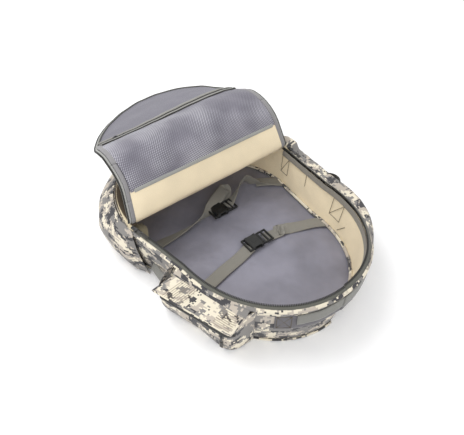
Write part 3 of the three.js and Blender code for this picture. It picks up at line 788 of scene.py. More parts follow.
def build_lower_front():
    """The fixed front panel over the bottom bay, crowned and a little slack, with a lining under it."""
    steps, columns = 22, 44
    skins = {
        "lower_front_camo": (1.2, 3.5, CAMO, "camo"),
        "lower_front_lining": (-1.6, 0.0, TAN, "tan_lining"),
    }
    for name, (base, crown, material, slot) in skins.items():
        rows = []
        for i in range(steps + 1):
            v = 0.985 * i / steps
            edge = rim_point(max(v, 0.004), -1)
            row = []
            for j in range(columns + 1):
                k = -1 + 2 * j / columns
                y = -edge.y * k
                dome = (1 - k * k) * min(1.0, (1 - v) * 3.0 + 0.1) * min(1.0, v * 3 + 0.1)
                wave = 1.6 * ripple(edge.x * 22, y * 16, base) * (1 - k ** 4)
                row.append(Vector((edge.x, y, WALL_TOP + (2.4 + base + crown * dome + wave) * MM)))
            rows.append(row)
        flat = [[(p.x, p.y) for p in row] for row in rows]
        made = grid_object(name, rows, material, 1.0 * MM, flat_uv=flat, shift=(0.7, 0.3))
        if material is CAMO:
            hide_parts("lower_front_panel")
        attach(made, slot, "pack")


# ---------------------------------------------------------------- lid surface
DIRECTION = {
    "low": (FOLD_LOW - HINGE).normalized(),
    "mid": (FOLD_HIGH - FOLD_LOW).normalized(),
}
DIRECTION["high"] = Matrix.Rotation(-LID_FOLD, 3, "Y") @ DIRECTION["mid"]
S_LOW = (FOLD_LOW - HINGE).length
S_HIGH = S_LOW + (FOLD_HIGH - FOLD_LOW).length
SOFT = (S_HIGH - S_LOW) / 2
SPLITS = (S_LOW - 42 * MM, (S_LOW + S_HIGH) / 2)
ROOT_TURN = 12 * MM


def lid_straight(s):
    """A point of the lid's middle line if the folds were sharp."""
    if s <= S_LOW:
        return HINGE + DIRECTION["low"] * s
    if s <= S_HIGH:
        return FOLD_LOW + DIRECTION["mid"] * (s - S_LOW)
    return FOLD_HIGH + DIRECTION["high"] * (s - S_HIGH)


def lid_centre(s):
    """The lid's middle line, rounded at the hinge and at both folds."""
    root = HINGE + Vector((-ROOT_TURN, 0, -2.6 * MM))
    bends = [
        (-ROOT_TURN, ROOT_TURN, root, HINGE - Vector((0, 0, 1.0 * MM)), lid_straight(ROOT_TURN)),
        (S_LOW - SOFT, S_LOW + SOFT, lid_straight(S_LOW - SOFT), FOLD_LOW, lid_straight(S_LOW + SOFT)),
        (S_HIGH - SOFT, S_HIGH + SOFT, lid_straight(S_HIGH - SOFT), FOLD_HIGH, lid_straight(S_HIGH + SOFT)),
    ]
    for low, high, first, corner, last in bends:
        if low <= s <= high:
            t = (s - low) / (high - low)
            return first * (1 - t) ** 2 + corner * 2 * t * (1 - t) + last * t * t
    return lid_straight(s)


def lid_inward(s):
    """Unit normal on the lid's inner side, which faces the open compartment."""
    step = 0.5 * MM
    way = (lid_centre(s + step) - lid_centre(s - step)).normalized()
    return Vector((way.z, 0, -way.x))


# How far the open lid's end hangs back, in millimetres, from its near edge to its far edge.
DROOP = [(-1.0, 16), (-0.75, 15.5), (-0.5, 13.5), (-0.25, 10), (0.0, 6), (0.25, 2.5), (0.5, 0.5), (0.7, 1.5),
         (0.85, 7), (0.95, 13), (1.0, 15)]


def lid_droop(s, y):
    """The round end of the open lid is limp: its shoulders hang back, the near one further."""
    place = min(0.999, max(-1.0, y / HALF_WIDTH_TOP))
    k = max(k for k in range(len(DROOP) - 1) if DROOP[k][0] <= place)
    (a, low), (b, high) = DROOP[k], DROOP[k + 1]
    return smooth(s, 125 * MM, 235 * MM) * (low + (high - low) * smooth(place, a, b)) * MM


def lid_point(s, y, h):
    """A point of the lid: s from the hinge, y across, h above its inner side, limp shoulders pulled in."""
    spread = 1.0
    side = min(1.0, abs(y) / HALF_WIDTH_TOP)
    pull = math.sin(math.pi * side ** 1.3) * smooth(s, 190 * MM, 290 * MM) * (10 * MM if y < 0 else 3 * MM)
    if y < 0:
        spread += 0.055 * smooth(s, 60 * MM, 150 * MM) * (1 - smooth(s, 170 * MM, 260 * MM))
    at = s - pull
    return lid_centre(at) + lid_inward(at) * (h - lid_droop(s, y)) + Vector((0, y * spread, 0))


def lid_half(s, inset):
    if s <= STRAIGHT_LENGTH:
        half = HALF_WIDTH_HINGE + (HALF_WIDTH_TOP - HALF_WIDTH_HINGE) * max(0.0, s) / STRAIGHT_LENGTH
        return half - inset
    reach = min(1.0, (s - STRAIGHT_LENGTH) / (TOP_LENGTH - inset))
    return (HALF_WIDTH_TOP - inset) * max(0.0, 1 - reach ** TOP_ROUNDNESS) ** (1 / TOP_ROUNDNESS)


def lid_blend(made):
    """Bakes a lid piece's placement into its mesh."""
    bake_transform(made)


def lid_parts(s0, s1):
    """The stretches of s between the seams where one lid body hands over to the next."""
    limits = [("root", -1.0, SPLITS[0]), ("low", SPLITS[0], SPLITS[1]), ("high", SPLITS[1], 9.0)]
    found = []
    for part, low, high in limits:
        a, b = max(s0, low), min(s1, high)
        if b - a > 0.5 * MM:
            found.append((part, a, b))
    return found


def lid_rows(s0, s1, inset, height, columns=56, step=5 * MM, to_end=False):
    """Rows of points between s0 and s1, and their flat places. to_end fans the rows out to the round end."""
    rows, flat = [], []
    last = STRAIGHT_LENGTH if to_end else s1
    if last > s0:
        steps = max(2, round((last - s0) / step))
        for i in range(steps + 1):
            s = s0 + (last - s0) * i / steps
            half = lid_half(s, inset)
            turns = [-1 + 2 * j / columns for j in range(columns + 1)]
            if to_end:
                power = 2 / TOP_ROUNDNESS
                turns = [math.copysign(abs(math.sin(k * math.pi / 2)) ** power, k) for k in turns]
            flat.append([(s, k * half) for k in turns])
    if to_end:
        power = 2 / TOP_ROUNDNESS
        fan = 36
        for i in range(1, fan + 1):
            q = i / fan
            row = []
            for j in range(columns + 1):
                k = -1 + 2 * j / columns
                turn = k * math.pi / 2
                reach = (TOP_LENGTH - inset) * max(0.0, math.cos(turn)) ** power
                side = (HALF_WIDTH_TOP - inset) * abs(math.sin(turn)) ** power
                row.append((STRAIGHT_LENGTH + q * reach, math.copysign(side, k)))
            flat.append(row)
    for line in flat:
        rows.append([lid_point(s, y, height(s, y)) for s, y in line])
    return rows, flat


def edge_distance(s, y, inset):
    """About how far a lid point is from the outline, in metres."""
    side = lid_half(s, inset) - abs(y)
    if s <= STRAIGHT_LENGTH:
        return max(0.0, side)
    radius = math.hypot((s - STRAIGHT_LENGTH) / (TOP_LENGTH - inset), y / (HALF_WIDTH_TOP - inset))
    return max(0.0, (1 - radius) * (HALF_WIDTH_TOP - inset))


def lid_panel(name, s0, s1, inset, height, material, slot, thickness, replaced=None, to_end=False):
    for part, a, b in lid_parts(s0, s1):
        ends = to_end and part == "high"
        rows, flat = lid_rows(a, b, inset, height, to_end=ends)
        made = grid_object(f"{name}_{part}", rows, material, thickness, flat_uv=flat, shift=(0.4, 1.3),
                           offset=0.0)
        if replaced and replaced.get(part):
            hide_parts(*replaced[part])
        lid_blend(made)


def outline_path(side, s0, s1, inset, height, step=4 * MM):
    """Points along one edge of the lid from s0 to s1, with the outward direction at each."""
    values = []
    if s0 < STRAIGHT_LENGTH:
        last = min(s1, STRAIGHT_LENGTH)
        steps = max(2, round((last - s0) / step))
        values += [(s0 + (last - s0) * i / steps, None) for i in range(steps + 1)]
    if s1 > STRAIGHT_LENGTH:
        fan = 68
        power = TOP_ROUNDNESS / 2
        low = max(0.0, (s0 - STRAIGHT_LENGTH) / (TOP_LENGTH - inset))
        high = min(1.0, (s1 - STRAIGHT_LENGTH) / (TOP_LENGTH - inset))
        first, last = math.acos(low ** power), math.acos(high ** power)
        start = 1 if s0 < STRAIGHT_LENGTH else 0
        values += [(None, first + (last - first) * i / fan) for i in range(start, fan + 1)]
    power = 2 / TOP_ROUNDNESS
    points, outs = [], []
    for s, turn in values:
        if s is None:
            reach = max(0.0, math.cos(turn)) ** power
            wide = max(0.0, math.sin(turn)) ** power
            s = STRAIGHT_LENGTH + (TOP_LENGTH - inset) * reach
            y = (HALF_WIDTH_TOP - inset) * wide
            out_s = reach ** (TOP_ROUNDNESS - 1) * HALF_WIDTH_TOP
            out_y = wide ** (TOP_ROUNDNESS - 1) * TOP_LENGTH
        else:
            y = lid_half(s, inset)
            out_s, out_y = 0.0, 1.0
        size = math.hypot(out_s, out_y)
        way = (lid_centre(s + MM) - lid_centre(s - MM)).normalized()
        points.append(lid_point(s, side * y, height))
        outs.append(way * (out_s / size) + Vector((0, side * out_y / size, 0)))
    return points, outs


def lid_inset_height(s, y):
    """Inner lining: padded, with soft waves that fade out at the edge."""
    room = min(1.0, edge_distance(s, y, 6 * MM) / (25 * MM))
    wave = 1.5 * ripple(s * 14, y * 9, 3.0) + 0.8 * ripple(s * 40, y * 26, 8.0)
    return (1.6 + room * (1.2 + wave)) * MM


def lid_outer_height(s, y):
    room = min(1.0, edge_distance(s, y, 6 * MM) / (30 * MM))
    swell = math.sin(room * math.pi / 2) * min(1.0, max(0.0, s) / (30 * MM))
    wave = 1.4 * ripple(s * 16, y * 11, 13.0)
    return -(1.8 + swell * (6.5 + wave)) * MM


MESH_RANGE = (56 * MM, 196 * MM)  # from the mesh pocket's sewn edge to its zipper, along the lid
ZIP_AT = 200 * MM
TAN_INSET, MESH_INSET = 11 * MM, 15 * MM


def mesh_height(s, y):
    low, high = MESH_RANGE
    share = (s - low) / (high - low)
    room = min(1.0, (lid_half(s, 17 * MM) - abs(y)) / (22 * MM))
    slack = math.sin(math.pi * min(1.0, max(0.0, share))) ** 0.7 * max(0.0, room) ** 0.6
    wave = 3.0 * ripple(s * 10 + y * 6, y * 7 - s * 5, 5.0) + 2.4 * ripple(s * 30 + y * 12, y * 20, 6.0)
    return (4.4 + slack * (3.6 + wave)) * MM


def build_lid():
    panels = {"root": ["lid_lower_panel"], "low": ["lid_mid_panel"], "high": ["lid_upper_panel"]}
    lid_panel("lid_outer", -ROOT_TURN, LID_LENGTH, 6 * MM, lid_outer_height, CAMO, "camo", 1.2 * MM,
              panels, to_end=True)
    lid_panel("lid_lining", -ROOT_TURN, LID_LENGTH, 7 * MM, lid_inset_height, GREY_LINING, "grey_padding",
              1.0 * MM, to_end=True)
    lid_panel("lid_tan_strip", -6 * MM, 58 * MM, TAN_INSET, lambda s, y: lid_inset_height(s, y) + 1.3 * MM,
              TAN, "tan_lining", 0.9 * MM)
    lid_panel("mesh_pocket", *MESH_RANGE, MESH_INSET, mesh_height, MESH, "mesh", 0.7 * MM,
              {"low": ["mesh_pocket_mid"], "high": ["mesh_pocket_upper"]})


def cross_band(name, s, inset, height, width, thickness, material, crown=0.3 * MM):
    """A band sewn across the lid from edge to edge at one s, inside one rigid stretch or one blend."""
    half = lid_half(s, inset)
    steps = 60
    path, ups = [], []
    for i in range(steps + 1):
        y = -half + 2 * half * i / steps
        wave = 0.7 * MM * ripple(y * 18, s * 5, 2.0)
        path.append(lid_point(s + wave, y, height + wave * 0.5))
        ups.append(lid_inward(s))
    made = sweep(name, path, ups, flat_section(width, thickness, crown), material)
    lid_blend(made)
    return path, ups


# Rows of cord beside the mesh pocket's zipper: name, place, height and radius in millimetres, material.
MESH_PIPING = [
    ("mesh_zip_edge", -10.5, 7.4, 1.7, LIGHT_PIPING),
    ("mesh_zip_edge", 10.5, 6.6, 1.7, LIGHT_PIPING),
    ("mesh_zip_shade", -13.6, 7.0, 1.3, DARK_TAPE),
]


def build_lid_bands():
    """The mesh pocket's sewn edge, its zipper and the piping beside the zipper."""
    cross_band("mesh_bottom_binding", 57 * MM, 22 * MM, 5.6 * MM, 7 * MM, 1.6 * MM, LIGHT_PIPING)
    zip_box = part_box("mesh_zipper_tape")
    half = (zip_box[1].y - zip_box[0].y) / 2 + 18 * MM
    ups = [lid_inward(ZIP_AT)] * 61

    def across(s, lift):
        return [lid_point(s, -half + 2 * half * i / 60, lift * MM) for i in range(61)]

    tape = sweep("mesh_tape", across(ZIP_AT, 6.2), ups, flat_section(21 * MM, 1.2 * MM, 0.4 * MM), ZIP_BAND)
    teeth = path_places(across(ZIP_AT - 0.5 * MM, 7.0), ups, SMALL_PITCH)
    coil = blocks("mesh_coil", teeth, (1.6 * MM, 4.4 * MM, 1.3 * MM), TEETH)
    made = join("mesh_zipper", [tape, coil])
    edges = []
    for name, place, lift, radius, material in MESH_PIPING:
        section = round_section(radius * MM, 8)
        edges.append(sweep(name, across(ZIP_AT + place * MM, lift), ups, section, material))
    edging = join("mesh_zipper_piping", edges)
    attach(edging, "binding", "lid_upper")
    attach(made, "zipper_tape", "lid_upper", "mesh_zipper_tape")


BINDING_OPEN, BINDING_WIDE, BINDING_END = 8 * MM, 13 * MM, 3 * MM
END_AT = 202 * MM  # from here on the lid's binding is the narrow tape of its round end


def build_lid_binding(label, side, part, first, last):
    """The flat binding of one stretch, with its narrow end tape; the near high stretch shows more of it."""
    width = BINDING_WIDE if side < 0 and part == "high" else BINDING_OPEN
    ends = [(first, min(last, END_AT), width, "", BINDING)]
    if part == "high":
        ends.append((END_AT, last, BINDING_END, "_end", TAPE))
    for a, b, wide, tail, material in ends:
        path, outs = outline_path(side, a, b, 6 * MM + wide / 2, 3.6 * MM)
        ups = [lid_inward_at(path, outs, i) for i in range(len(path))]
        section = flat_section(wide, 1.3 * MM, 0.5 * MM)
        band = sweep(f"lid_binding_{label}_{part}{tail}", path, ups, section, material)
        if part == "high" and not tail:
            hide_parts(f"lid_binding_{label}")
        lid_blend(band)


def build_lid_zipper(label, side, part, first, last):
    """The rolled edge of one stretch, and its half of the main zipper: tape and coil."""
    path, outs = outline_path(side, first, last, 4.5 * MM, 0.4 * MM)
    ups = [lid_inward_at(path, outs, i) for i in range(len(path))]
    roll = sweep(f"lid_piping_{label}_{part}", path, outs, round_section(2.6 * MM), LIGHT_PIPING)
    coil_path = [p + o * 3.4 * MM for p, o in zip(path, outs)]
    teeth = path_places(coil_path, ups, TOOTH_PITCH)
    coil = blocks("coil", teeth, (1.7 * MM, 3.6 * MM, 1.5 * MM), TEETH)
    tape_path = [p + o * 2.0 * MM - u * 0.8 * MM for p, o, u in zip(path, outs, ups)]
    tape = sweep("tape", tape_path, ups, flat_section(7 * MM, 1.1 * MM), TAPE)
    made = join(f"lid_zipper_{label}_{part}", [tape, coil])
    for item, slot in ((roll, "binding"), (made, "zipper_tape")):
        lid_blend(item)


def build_lid_edges():
    """Binding, zipper half and rolled edge, all round the lid's outline."""
    for label, side in SIDES:
        for part, first, last in lid_parts(0.0, LID_LENGTH):
            build_lid_binding(label, side, part, first, last)
            build_lid_zipper(label, side, part, first, last)


def lid_inward_at(path, outs, i):
    """The lid's inner normal at a path point, square to the path and to the outward direction."""
    before, after = path[max(0, i - 1)], path[min(len(path) - 1, i + 1)]
    up = (after - before).cross(outs[i]).normalized()
    return up if up.x * 0.5 + up.z >= 0 else -up


def build_lid_webbing():
    for n in (1, 2, 3):
        low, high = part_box(f"lid_webbing_{n}")
        centre = (low + high) / 2
        s = S_HIGH + (centre - FOLD_HIGH).dot(DIRECTION["high"])
        half = (high.y - low.y) / 2
        path, ups = [], []
        for i in range(49):
            y = -half + 2 * half * i / 48
            tack = abs(math.sin(math.pi * (y + half) / (2 * half) * 5)) ** 0.5
            path.append(lid_point(s, y, lid_outer_height(s, y) - (1.6 + 1.6 * tack) * MM))
            ups.append(-lid_inward(s))
        made = sweep(f"lid_molle_{n}", path, ups, flat_section(25 * MM, 1.6 * MM), WEBBING)
        attach(made, "webbing", "lid_upper", f"lid_webbing_{n}")


# ---------------------------------------------------------------- floor pad and harness
def soft_pad(name, node, body, material, crown, inset=1.5 * MM, pressure=4.0, cap=6 * MM,
             floor=False):
    """A padded piece grown from its CAD solid: remeshed, blown up as cloth and smoothed."""
    source = frame["nodes"][node]
    mesh = source.data.copy()
    made = bpy.data.objects.new(name, mesh)
    bpy.context.scene.collection.objects.link(made)
    mesh.materials.clear()
    mesh.materials.append(material)
    remesh = made.modifiers.new("remesh", "REMESH")
    remesh.mode = "VOXEL"
    remesh.voxel_size = 5 * MM
    bake(made)
    low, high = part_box(node)
    middle = (low.z + high.z) / 2
    rest = [v.co.copy() for v in made.data.vertices]
    for v in made.data.vertices:
        v.co -= v.normal * inset
    inflate(made, pressure)
    for v, start in zip(made.data.vertices, rest):
        move = v.co - start
        if move.length > cap:
            v.co = start + move * (cap / move.length)
    for v in made.data.vertices:
        if crown and v.co.z > middle:
            wide = ripple(v.co.x * 9, v.co.y * 9, 7.0)
            v.co.z += crown * (wide + 0.5 * ripple(v.co.x * 26 + v.co.y * 9, v.co.y * 12, 2.0))
    if floor:
        for v in made.data.vertices:
            v.co.z = max(v.co.z, 0.25 * MM)
    made.data.shade_smooth()
    finer = made.modifiers.new("subdivision", "SUBSURF")
    finer.levels = finer.render_levels = 1
    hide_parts(node)
    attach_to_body(made, body)
    return made


def bake(made):
    """Applies every modifier of an object."""
    graph = bpy.context.evaluated_depsgraph_get()
    mesh = bpy.data.meshes.new_from_object(made.evaluated_get(graph))
    made.modifiers.clear()
    made.data = mesh


def inflate(made, pressure):
    scene = bpy.context.scene
    cloth = made.modifiers.new("cloth", "CLOTH")
    settings = cloth.settings
    settings.quality = 5
    settings.mass = 0.3
    settings.use_pressure = True
    settings.uniform_pressure_force = pressure
    settings.effector_weights.gravity = 0.0
    cloth.point_cache.frame_start = 1
    cloth.point_cache.frame_end = 20
    for step in range(1, 21):
        scene.frame_set(step)
    bake(made)
    scene.frame_set(1)


# ---------------------------------------------------------------- corner pockets
POCKET_RANGE = (0.26, 1.08)
POCKET_LEAST = 4.5 * MM
POCKET_BASE, POCKET_HEM, POCKET_BELLY = 39, 2.5, 38  # how far the skin stands off the wall, in millimetres


def pocket_depth(along, height):
    rise = min(1.0, along / 0.12) ** 0.5
    fall = max(0.0, (along - 0.56) / 0.44)
    full = POCKET_BASE * (1 - height ** 5) + POCKET_HEM * height ** 5 + POCKET_BELLY * height * (1 - height)
    full *= MM
    return POCKET_LEAST + (full - POCKET_LEAST) * rise * (1 - 0.8 * fall)


def pocket_point(side, along, height, lift=0.0, inward=0.0):
    """A point on the pocket's loose outer skin. lift raises it and inward moves it towards the wall."""
    last = POCKET_RANGE[1] + 0.15 * (1 - height) ** 0.8
    v = POCKET_RANGE[0] + (last - POCKET_RANGE[0]) * along
    hem = math.sin(math.pi * min(1.0, along)) ** 0.5
    loose = math.sin(math.pi * height) ** 0.7 * hem
    fold = 3.6 * ripple(v * 7.5, height * 2.4, side * 3.0 + 1)
    fold += 1.5 * ripple(v * 19, height * 6.0, side * 5.0)
    tuck = 7 * MM * (1 - height) ** 5 * hem
    out = pocket_depth(along, height) - 0.8 * MM + fold * loose * MM - tuck - inward
    return on_wall(v, side, max(out, 1.2 * MM), (1.6 + 101 * height) * MM + lift)


POCKET_ALONGS = [j / 52 for j in range(53)]


def pocket_mouth_v(along):
    return POCKET_RANGE[0] + (POCKET_RANGE[1] - POCKET_RANGE[0]) * along


def build_pocket_skin(label, side):
    rows = [[pocket_point(side, a, i / 22) for a in POCKET_ALONGS] for i in range(23)]
    skin = grid_object(f"corner_pocket_skin_{label}", rows, CAMO, 1.4 * MM, shift=(2.1 + side, 0.35),
                       offset=0.0)
    attach(skin, "camo", "pack", f"corner_pocket_{label}")


def build_pocket_hem(label, side):
    path, outs = [], []
    for a in POCKET_ALONGS:
        v = pocket_mouth_v(a)
        path.append(on_wall(v, side, (-1.5 - 3 * math.sin(math.pi * a)) * MM, 103.8 * MM))
        outs.append((rim_normal(v, side) + Vector((0, 0, 0.8))).normalized())
    section = flat_section(8 * MM, 2.6 * MM, 0.6 * MM)
    hem = sweep(f"corner_pocket_hem_{label}", path, outs, section, CREAM_TAPE)
    attach(hem, "binding", "pack")


def build_pocket_inside(label, side):
    """Dark cloth in the pocket's mouth, painted shade for its shadowed inside: a lining behind its skin, and
    a backing on the wall.
    """
    inner, back = [], []
    for i in range(9):
        height = 0.5 + 0.47 * i / 8
        inner.append([pocket_point(side, a, height, inward=2.2 * MM) for a in POCKET_ALONGS[2:-2]])
        row = []
        for a in POCKET_ALONGS[2:-2]:
            v = pocket_mouth_v(a)
            row.append(on_wall(v, side, wall_swell(v, side, height) + 1.4 * MM, (1.2 + 98 * height) * MM))
        back.append(row)
    for part, rows in (("lining", inner), ("backing", back)):
        cloth = grid_object(f"corner_pocket_{part}_{label}", rows, PAINTED_SHADE_CLOTH, 0.6 * MM, offset=0.0)
        attach(cloth, "tan_lining", "pack")


def build_corner_pocket(label, side):
    build_pocket_skin(label, side)
    build_pocket_hem(label, side)
    build_pocket_inside(label, side)


# ---------------------------------------------------------------- zipped pouch and its flap
POUCH_HINGE = (Vector((62, -190, 0)) * MM, Vector((197, -155, 0)) * MM)
POUCH_OUTER = (Vector((38, -226, 0)) * MM, Vector((195, -180, 0)) * MM)
POUCH_RANGE = (1.84, 2.47)
POUCH_CORNER = 15 * MM
FLAP_HINGE_Z = 99 * MM
FLAP_TILT = math.radians(50)
FLAP_CORNERS = [[(0, -1), (138, -1)], [(-29, -44), (131, -37)]]


def pouch_plan(count=72):
    """The pouch's outline in plan, from the wall round both outer corners and back to the wall."""
    first = rim_point(POUCH_RANGE[0], -1) + rim_normal(POUCH_RANGE[0], -1) * 1.5 * MM
    last = rim_point(POUCH_RANGE[1], -1) + rim_normal(POUCH_RANGE[1], -1) * 1.5 * MM
    corners = [first, POUCH_OUTER[0], POUCH_OUTER[1], last]
    points = []
    for i in (0, 1, 2):
        a, b = corners[i], corners[i + 1]
        length = (b - a).length
        cut_a = 0.0 if i == 0 else POUCH_CORNER / length
        cut_b = 1.0 if i == 2 else 1 - POUCH_CORNER / length
        for k in range(12):
            t = cut_a + (cut_b - cut_a) * k / 11
            points.append(a.lerp(b, t))
        if i < 2:
            nxt = corners[i + 2]
            start, end = points[-1], b + (nxt - b).normalized() * POUCH_CORNER
            for k in range(1, 8):
                t = k / 8
                points.append(start * (1 - t) ** 2 + b * 2 * t * (1 - t) + end * t * t)
    return resample(points, count)


def resample(points, count):
    lengths = [0.0]
    for a, b in zip(points, points[1:]):
        lengths.append(lengths[-1] + (b - a).length)
    made, k = [], 0
    for i in range(count):
        want = lengths[-1] * i / (count - 1)
        while k < len(points) - 2 and lengths[k + 1] < want:
            k += 1
        span = lengths[k + 1] - lengths[k]
        made.append(points[k].lerp(points[k + 1], (want - lengths[k]) / span if span else 0.0))
    return made


def plan_normals(points):
    normals = []
    for i in range(len(points)):
        run = points[min(i + 1, len(points) - 1)] - points[max(i - 1, 0)]
        normals.append(Vector((run.y, -run.x, 0)).normalized())
    return normals


def pouch_top(point):
    """Height of the pouch's mouth, which follows the underside of the flap."""
    hinge = (POUCH_HINGE[1] - POUCH_HINGE[0]).normalized()
    outward = Vector((hinge.y, -hinge.x, 0))
    distance = (point - POUCH_HINGE[0]).dot(outward)
    return FLAP_HINGE_Z - 8 * MM - max(0.0, distance) * math.tan(FLAP_TILT)


def pouch_point(plan, out, index, height):
    place, normal = plan[index], out[index]
    top = pouch_top(place)
    z = 1.6 * MM + (top - 1.6 * MM) * height
    ends = math.sin(math.pi * index / (len(plan) - 1)) ** 0.4
    belly = 4.5 * math.sin(math.pi * height ** 0.75) ** 0.8 * ends
    fold = 2.2 * ripple(place.x * 30, place.y * 30, height * 1.5 + 3)
    fold += 1.0 * ripple(place.x * 70, place.y * 70, height * 4)
    fold *= math.sin(math.pi * min(1, height * 1.1)) * ends
    tuck = 3 * (1 - height) ** 4 * ends - 9 * smooth(place.x, 0.12, 0.19) * (1 - height) * ends
    swelled = place + normal * (belly + fold - tuck - 1.5) * MM
    return lean(Vector((swelled.x, swelled.y, z)))


def build_pouch_top(plan, out):
    """The cloth across the pouch's mouth, under the flap. It dips a little."""
    inner = []
    for point in plan:
        share = (point.x - plan[0].x) / (plan[-1].x - plan[0].x)
        v = POUCH_RANGE[0] + (POUCH_RANGE[1] - POUCH_RANGE[0]) * min(1.0, max(0.0, share))
        inner.append(on_wall(v, -1, 3.0 * MM, 84 * MM))
    rows = []
    for i in range(8):
        t = i / 7
        dip = Vector((0, 0, 5 * MM * math.sin(math.pi * t)))
        rows.append([pouch_point(plan, out, j, 1.0).lerp(inner[j], t) - dip for j in range(len(plan))])
    lid = grid_object("pouch_top", rows, CAMO, 1.0 * MM, offset=0.0)
    attach(lid, "camo", "pack")


def build_pouch_zipper(plan, out):
    path, ups = [], []
    for j in range(14, len(plan) - 12):
        path.append(pouch_point(plan, out, j, 0.8) + out[j] * 1.2 * MM)
        ups.append(out[j])
    # The tape is very dark: partly the zipper's own colour, partly painted shade for the shadow line under
    # the flap's edge.
    tape = sweep("pouch_tape", path, ups, flat_section(13 * MM, 1.6 * MM, 0.4 * MM), DARK_TAPE)
    coil_path = [p + u * 0.5 * MM for p, u in zip(path, ups)]
    teeth = path_places(coil_path, ups, SMALL_PITCH)
    coil = blocks("pouch_coil", teeth, (1.6 * MM, 3.8 * MM, 1.4 * MM), TEETH)
    zipper = join("pouch_zipper", [tape, coil])
    attach(zipper, "zipper_tape", "pack")


def build_pouch():
    plan = pouch_plan()
    out = plan_normals(plan)
    rows = [[pouch_point(plan, out, j, i / 16) for j in range(len(plan))] for i in range(17)]
    skin = grid_object("pouch_skin", rows, CAMO, 1.4 * MM, shift=(5.3, 2.7), offset=0.0)
    attach(skin, "camo", "pack", "side_pouch")
    build_pouch_top(plan, out)
    build_pouch_zipper(plan, out)


def flap_point(u, w, height):
    """A point of the flap: u along the hinge, w from it to the free edge, height in millimetres above it."""
    (a, b), (c, d) = FLAP_CORNERS
    x = (a[0] + (b[0] - a[0]) * u) * (1 - w) + (c[0] + (d[0] - c[0]) * u) * w
    y = (a[1] + (b[1] - a[1]) * u) * (1 - w) + (c[1] + (d[1] - c[1]) * u) * w
    hinge = POUCH_HINGE[1] - POUCH_HINGE[0]
    turn = Matrix.Rotation(math.atan2(hinge.y, hinge.x), 3, "Z") @ Matrix.Rotation(FLAP_TILT, 3, "X")
    base = POUCH_HINGE[0] + Vector((0, 0, FLAP_HINGE_Z))
    return base + turn @ (Vector((x, y, height)) * MM)


def flap_height(u, w):
    ribs_left = max(0.0, 1 - abs(u - 0.27) / 0.15) * math.sin(u * 2 * math.pi * 26)
    ribs_right = max(0.0, 1 - abs(u - 0.88) / 0.14) * math.sin(w * 2 * math.pi * 9)
    rows = 0.45 * (ribs_left + ribs_right) * math.sin(math.pi * min(1, max(0, w)))
    slack = 1.6 * ripple(u * 5, w * 2.5, 4.0) + 0.7 * ripple(u * 13, w * 6, 9.0)
    curl = 1.5 * max(0.0, w - 0.5) - 3.0 * max(0.0, u - 0.95) / 0.05
    return 1.6 + rows + slack * math.sin(math.pi * min(1, max(0.05, w))) + curl


def build_flap_seam():
    """The strip that sews the flap to the top of the wall."""
    rows = []
    for i in range(9):
        t = i / 8
        row = []
        for j in range(61):
            u = -0.03 + 1.06 * j / 60
            free = flap_point(u, 0.0, flap_height(u, 0.02) + 0.6)
            v = 1.93 + (2.44 - 1.93) * j / 60
            sewn = on_wall(v, -1, 1.0 * MM, 97.5 * MM)
            row.append(sewn.lerp(free, t) + Vector((0, 0, 1.6 * MM * math.sin(math.pi * t))))
        rows.append(row)
    seam = grid_object("flap_seam", rows, CAMO, 1.8 * MM, shift=(2.4, 7.1), offset=0.0)
    attach(seam, "camo", "pack")


def build_flap():
    columns, steps = 150, 44
    rows, flat = [], []
    for i in range(steps + 1):
        w = -0.05 + 1.05 * i / steps
        rows.append([flap_point(j / columns, w, flap_height(j / columns, w)) for j in range(columns + 1)])
        flat.append([(j / columns * 0.165, w * 0.05) for j in range(columns + 1)])
    skin = grid_object("flap_skin", rows, CAMO_FLAP, 2.0 * MM, flat_uv=flat, shift=FLAP_UV, offset=0.0)
    attach(skin, "camo", "pouch_flap", "pouch_flap")
    build_flap_seam()
    edge = [(0.0, 0.1 + 0.9 * k / 10) for k in range(11)]
    edge += [(k / 40, 1.0) for k in range(1, 41)]
    edge += [(1.0, 1.0 - 0.9 * k / 10) for k in range(1, 11)]
    path = [flap_point(u, w, flap_height(u, w)) for u, w in edge]
    normal = (flap_point(0.5, 0.5, 1) - flap_point(0.5, 0.5, 0)).normalized()
    hem = sweep("flap_hem", path, [normal] * len(path), round_section(1.9 * MM, 8), CAMO_PIPING)
    attach(hem, "camo", "pouch_flap")


# ---------------------------------------------------------------- webbing outside
TOP_BAND_Z, TOP_BAND_WIDTH = 69 * MM, 37 * MM
BRIDGE_START = (1.3, 30 * MM)  # v and height on the wall
BRIDGE_END = Vector((45.5, -200, 59)) * MM


def box_stitch(name, corner, along, across, up, length, width, body):
    """A sewn box with a cross in it, as fine raised thread."""
    a, b = corner, corner + along * length
    c, d = b + across * width, a + across * width
    parts = []
    for n, (start, end) in enumerate([(a, b), (b, c), (c, d), (d, a), (a, c), (b, d)]):
        path = [start.lerp(end, k / 6) for k in range(7)]
        parts.append(sweep(f"{name}_{n}", path, [up] * 7, flat_section(0.9 * MM, 0.8 * MM, steps=2), THREAD))
    stitch = join(name, parts)
    attach(stitch, "webbing", body)


def wall_band(name, v0, v1, side, z, width, lift, material, wave=0.5):
    path, ups = [], []
    for v in v_range(v0, v1, 0.015):
        height = z / (100 * MM)
        ease = 0.9 * MM * wave * ripple(v * 14, side, 2.0)
        path.append(on_wall(v, side, wall_swell(v, side, height) + lift + ease, z))
        ups.append(rim_normal(v, side))
    return sweep(name, path, ups, flat_section(width, 1.8 * MM, 0.3 * MM), material), path, ups


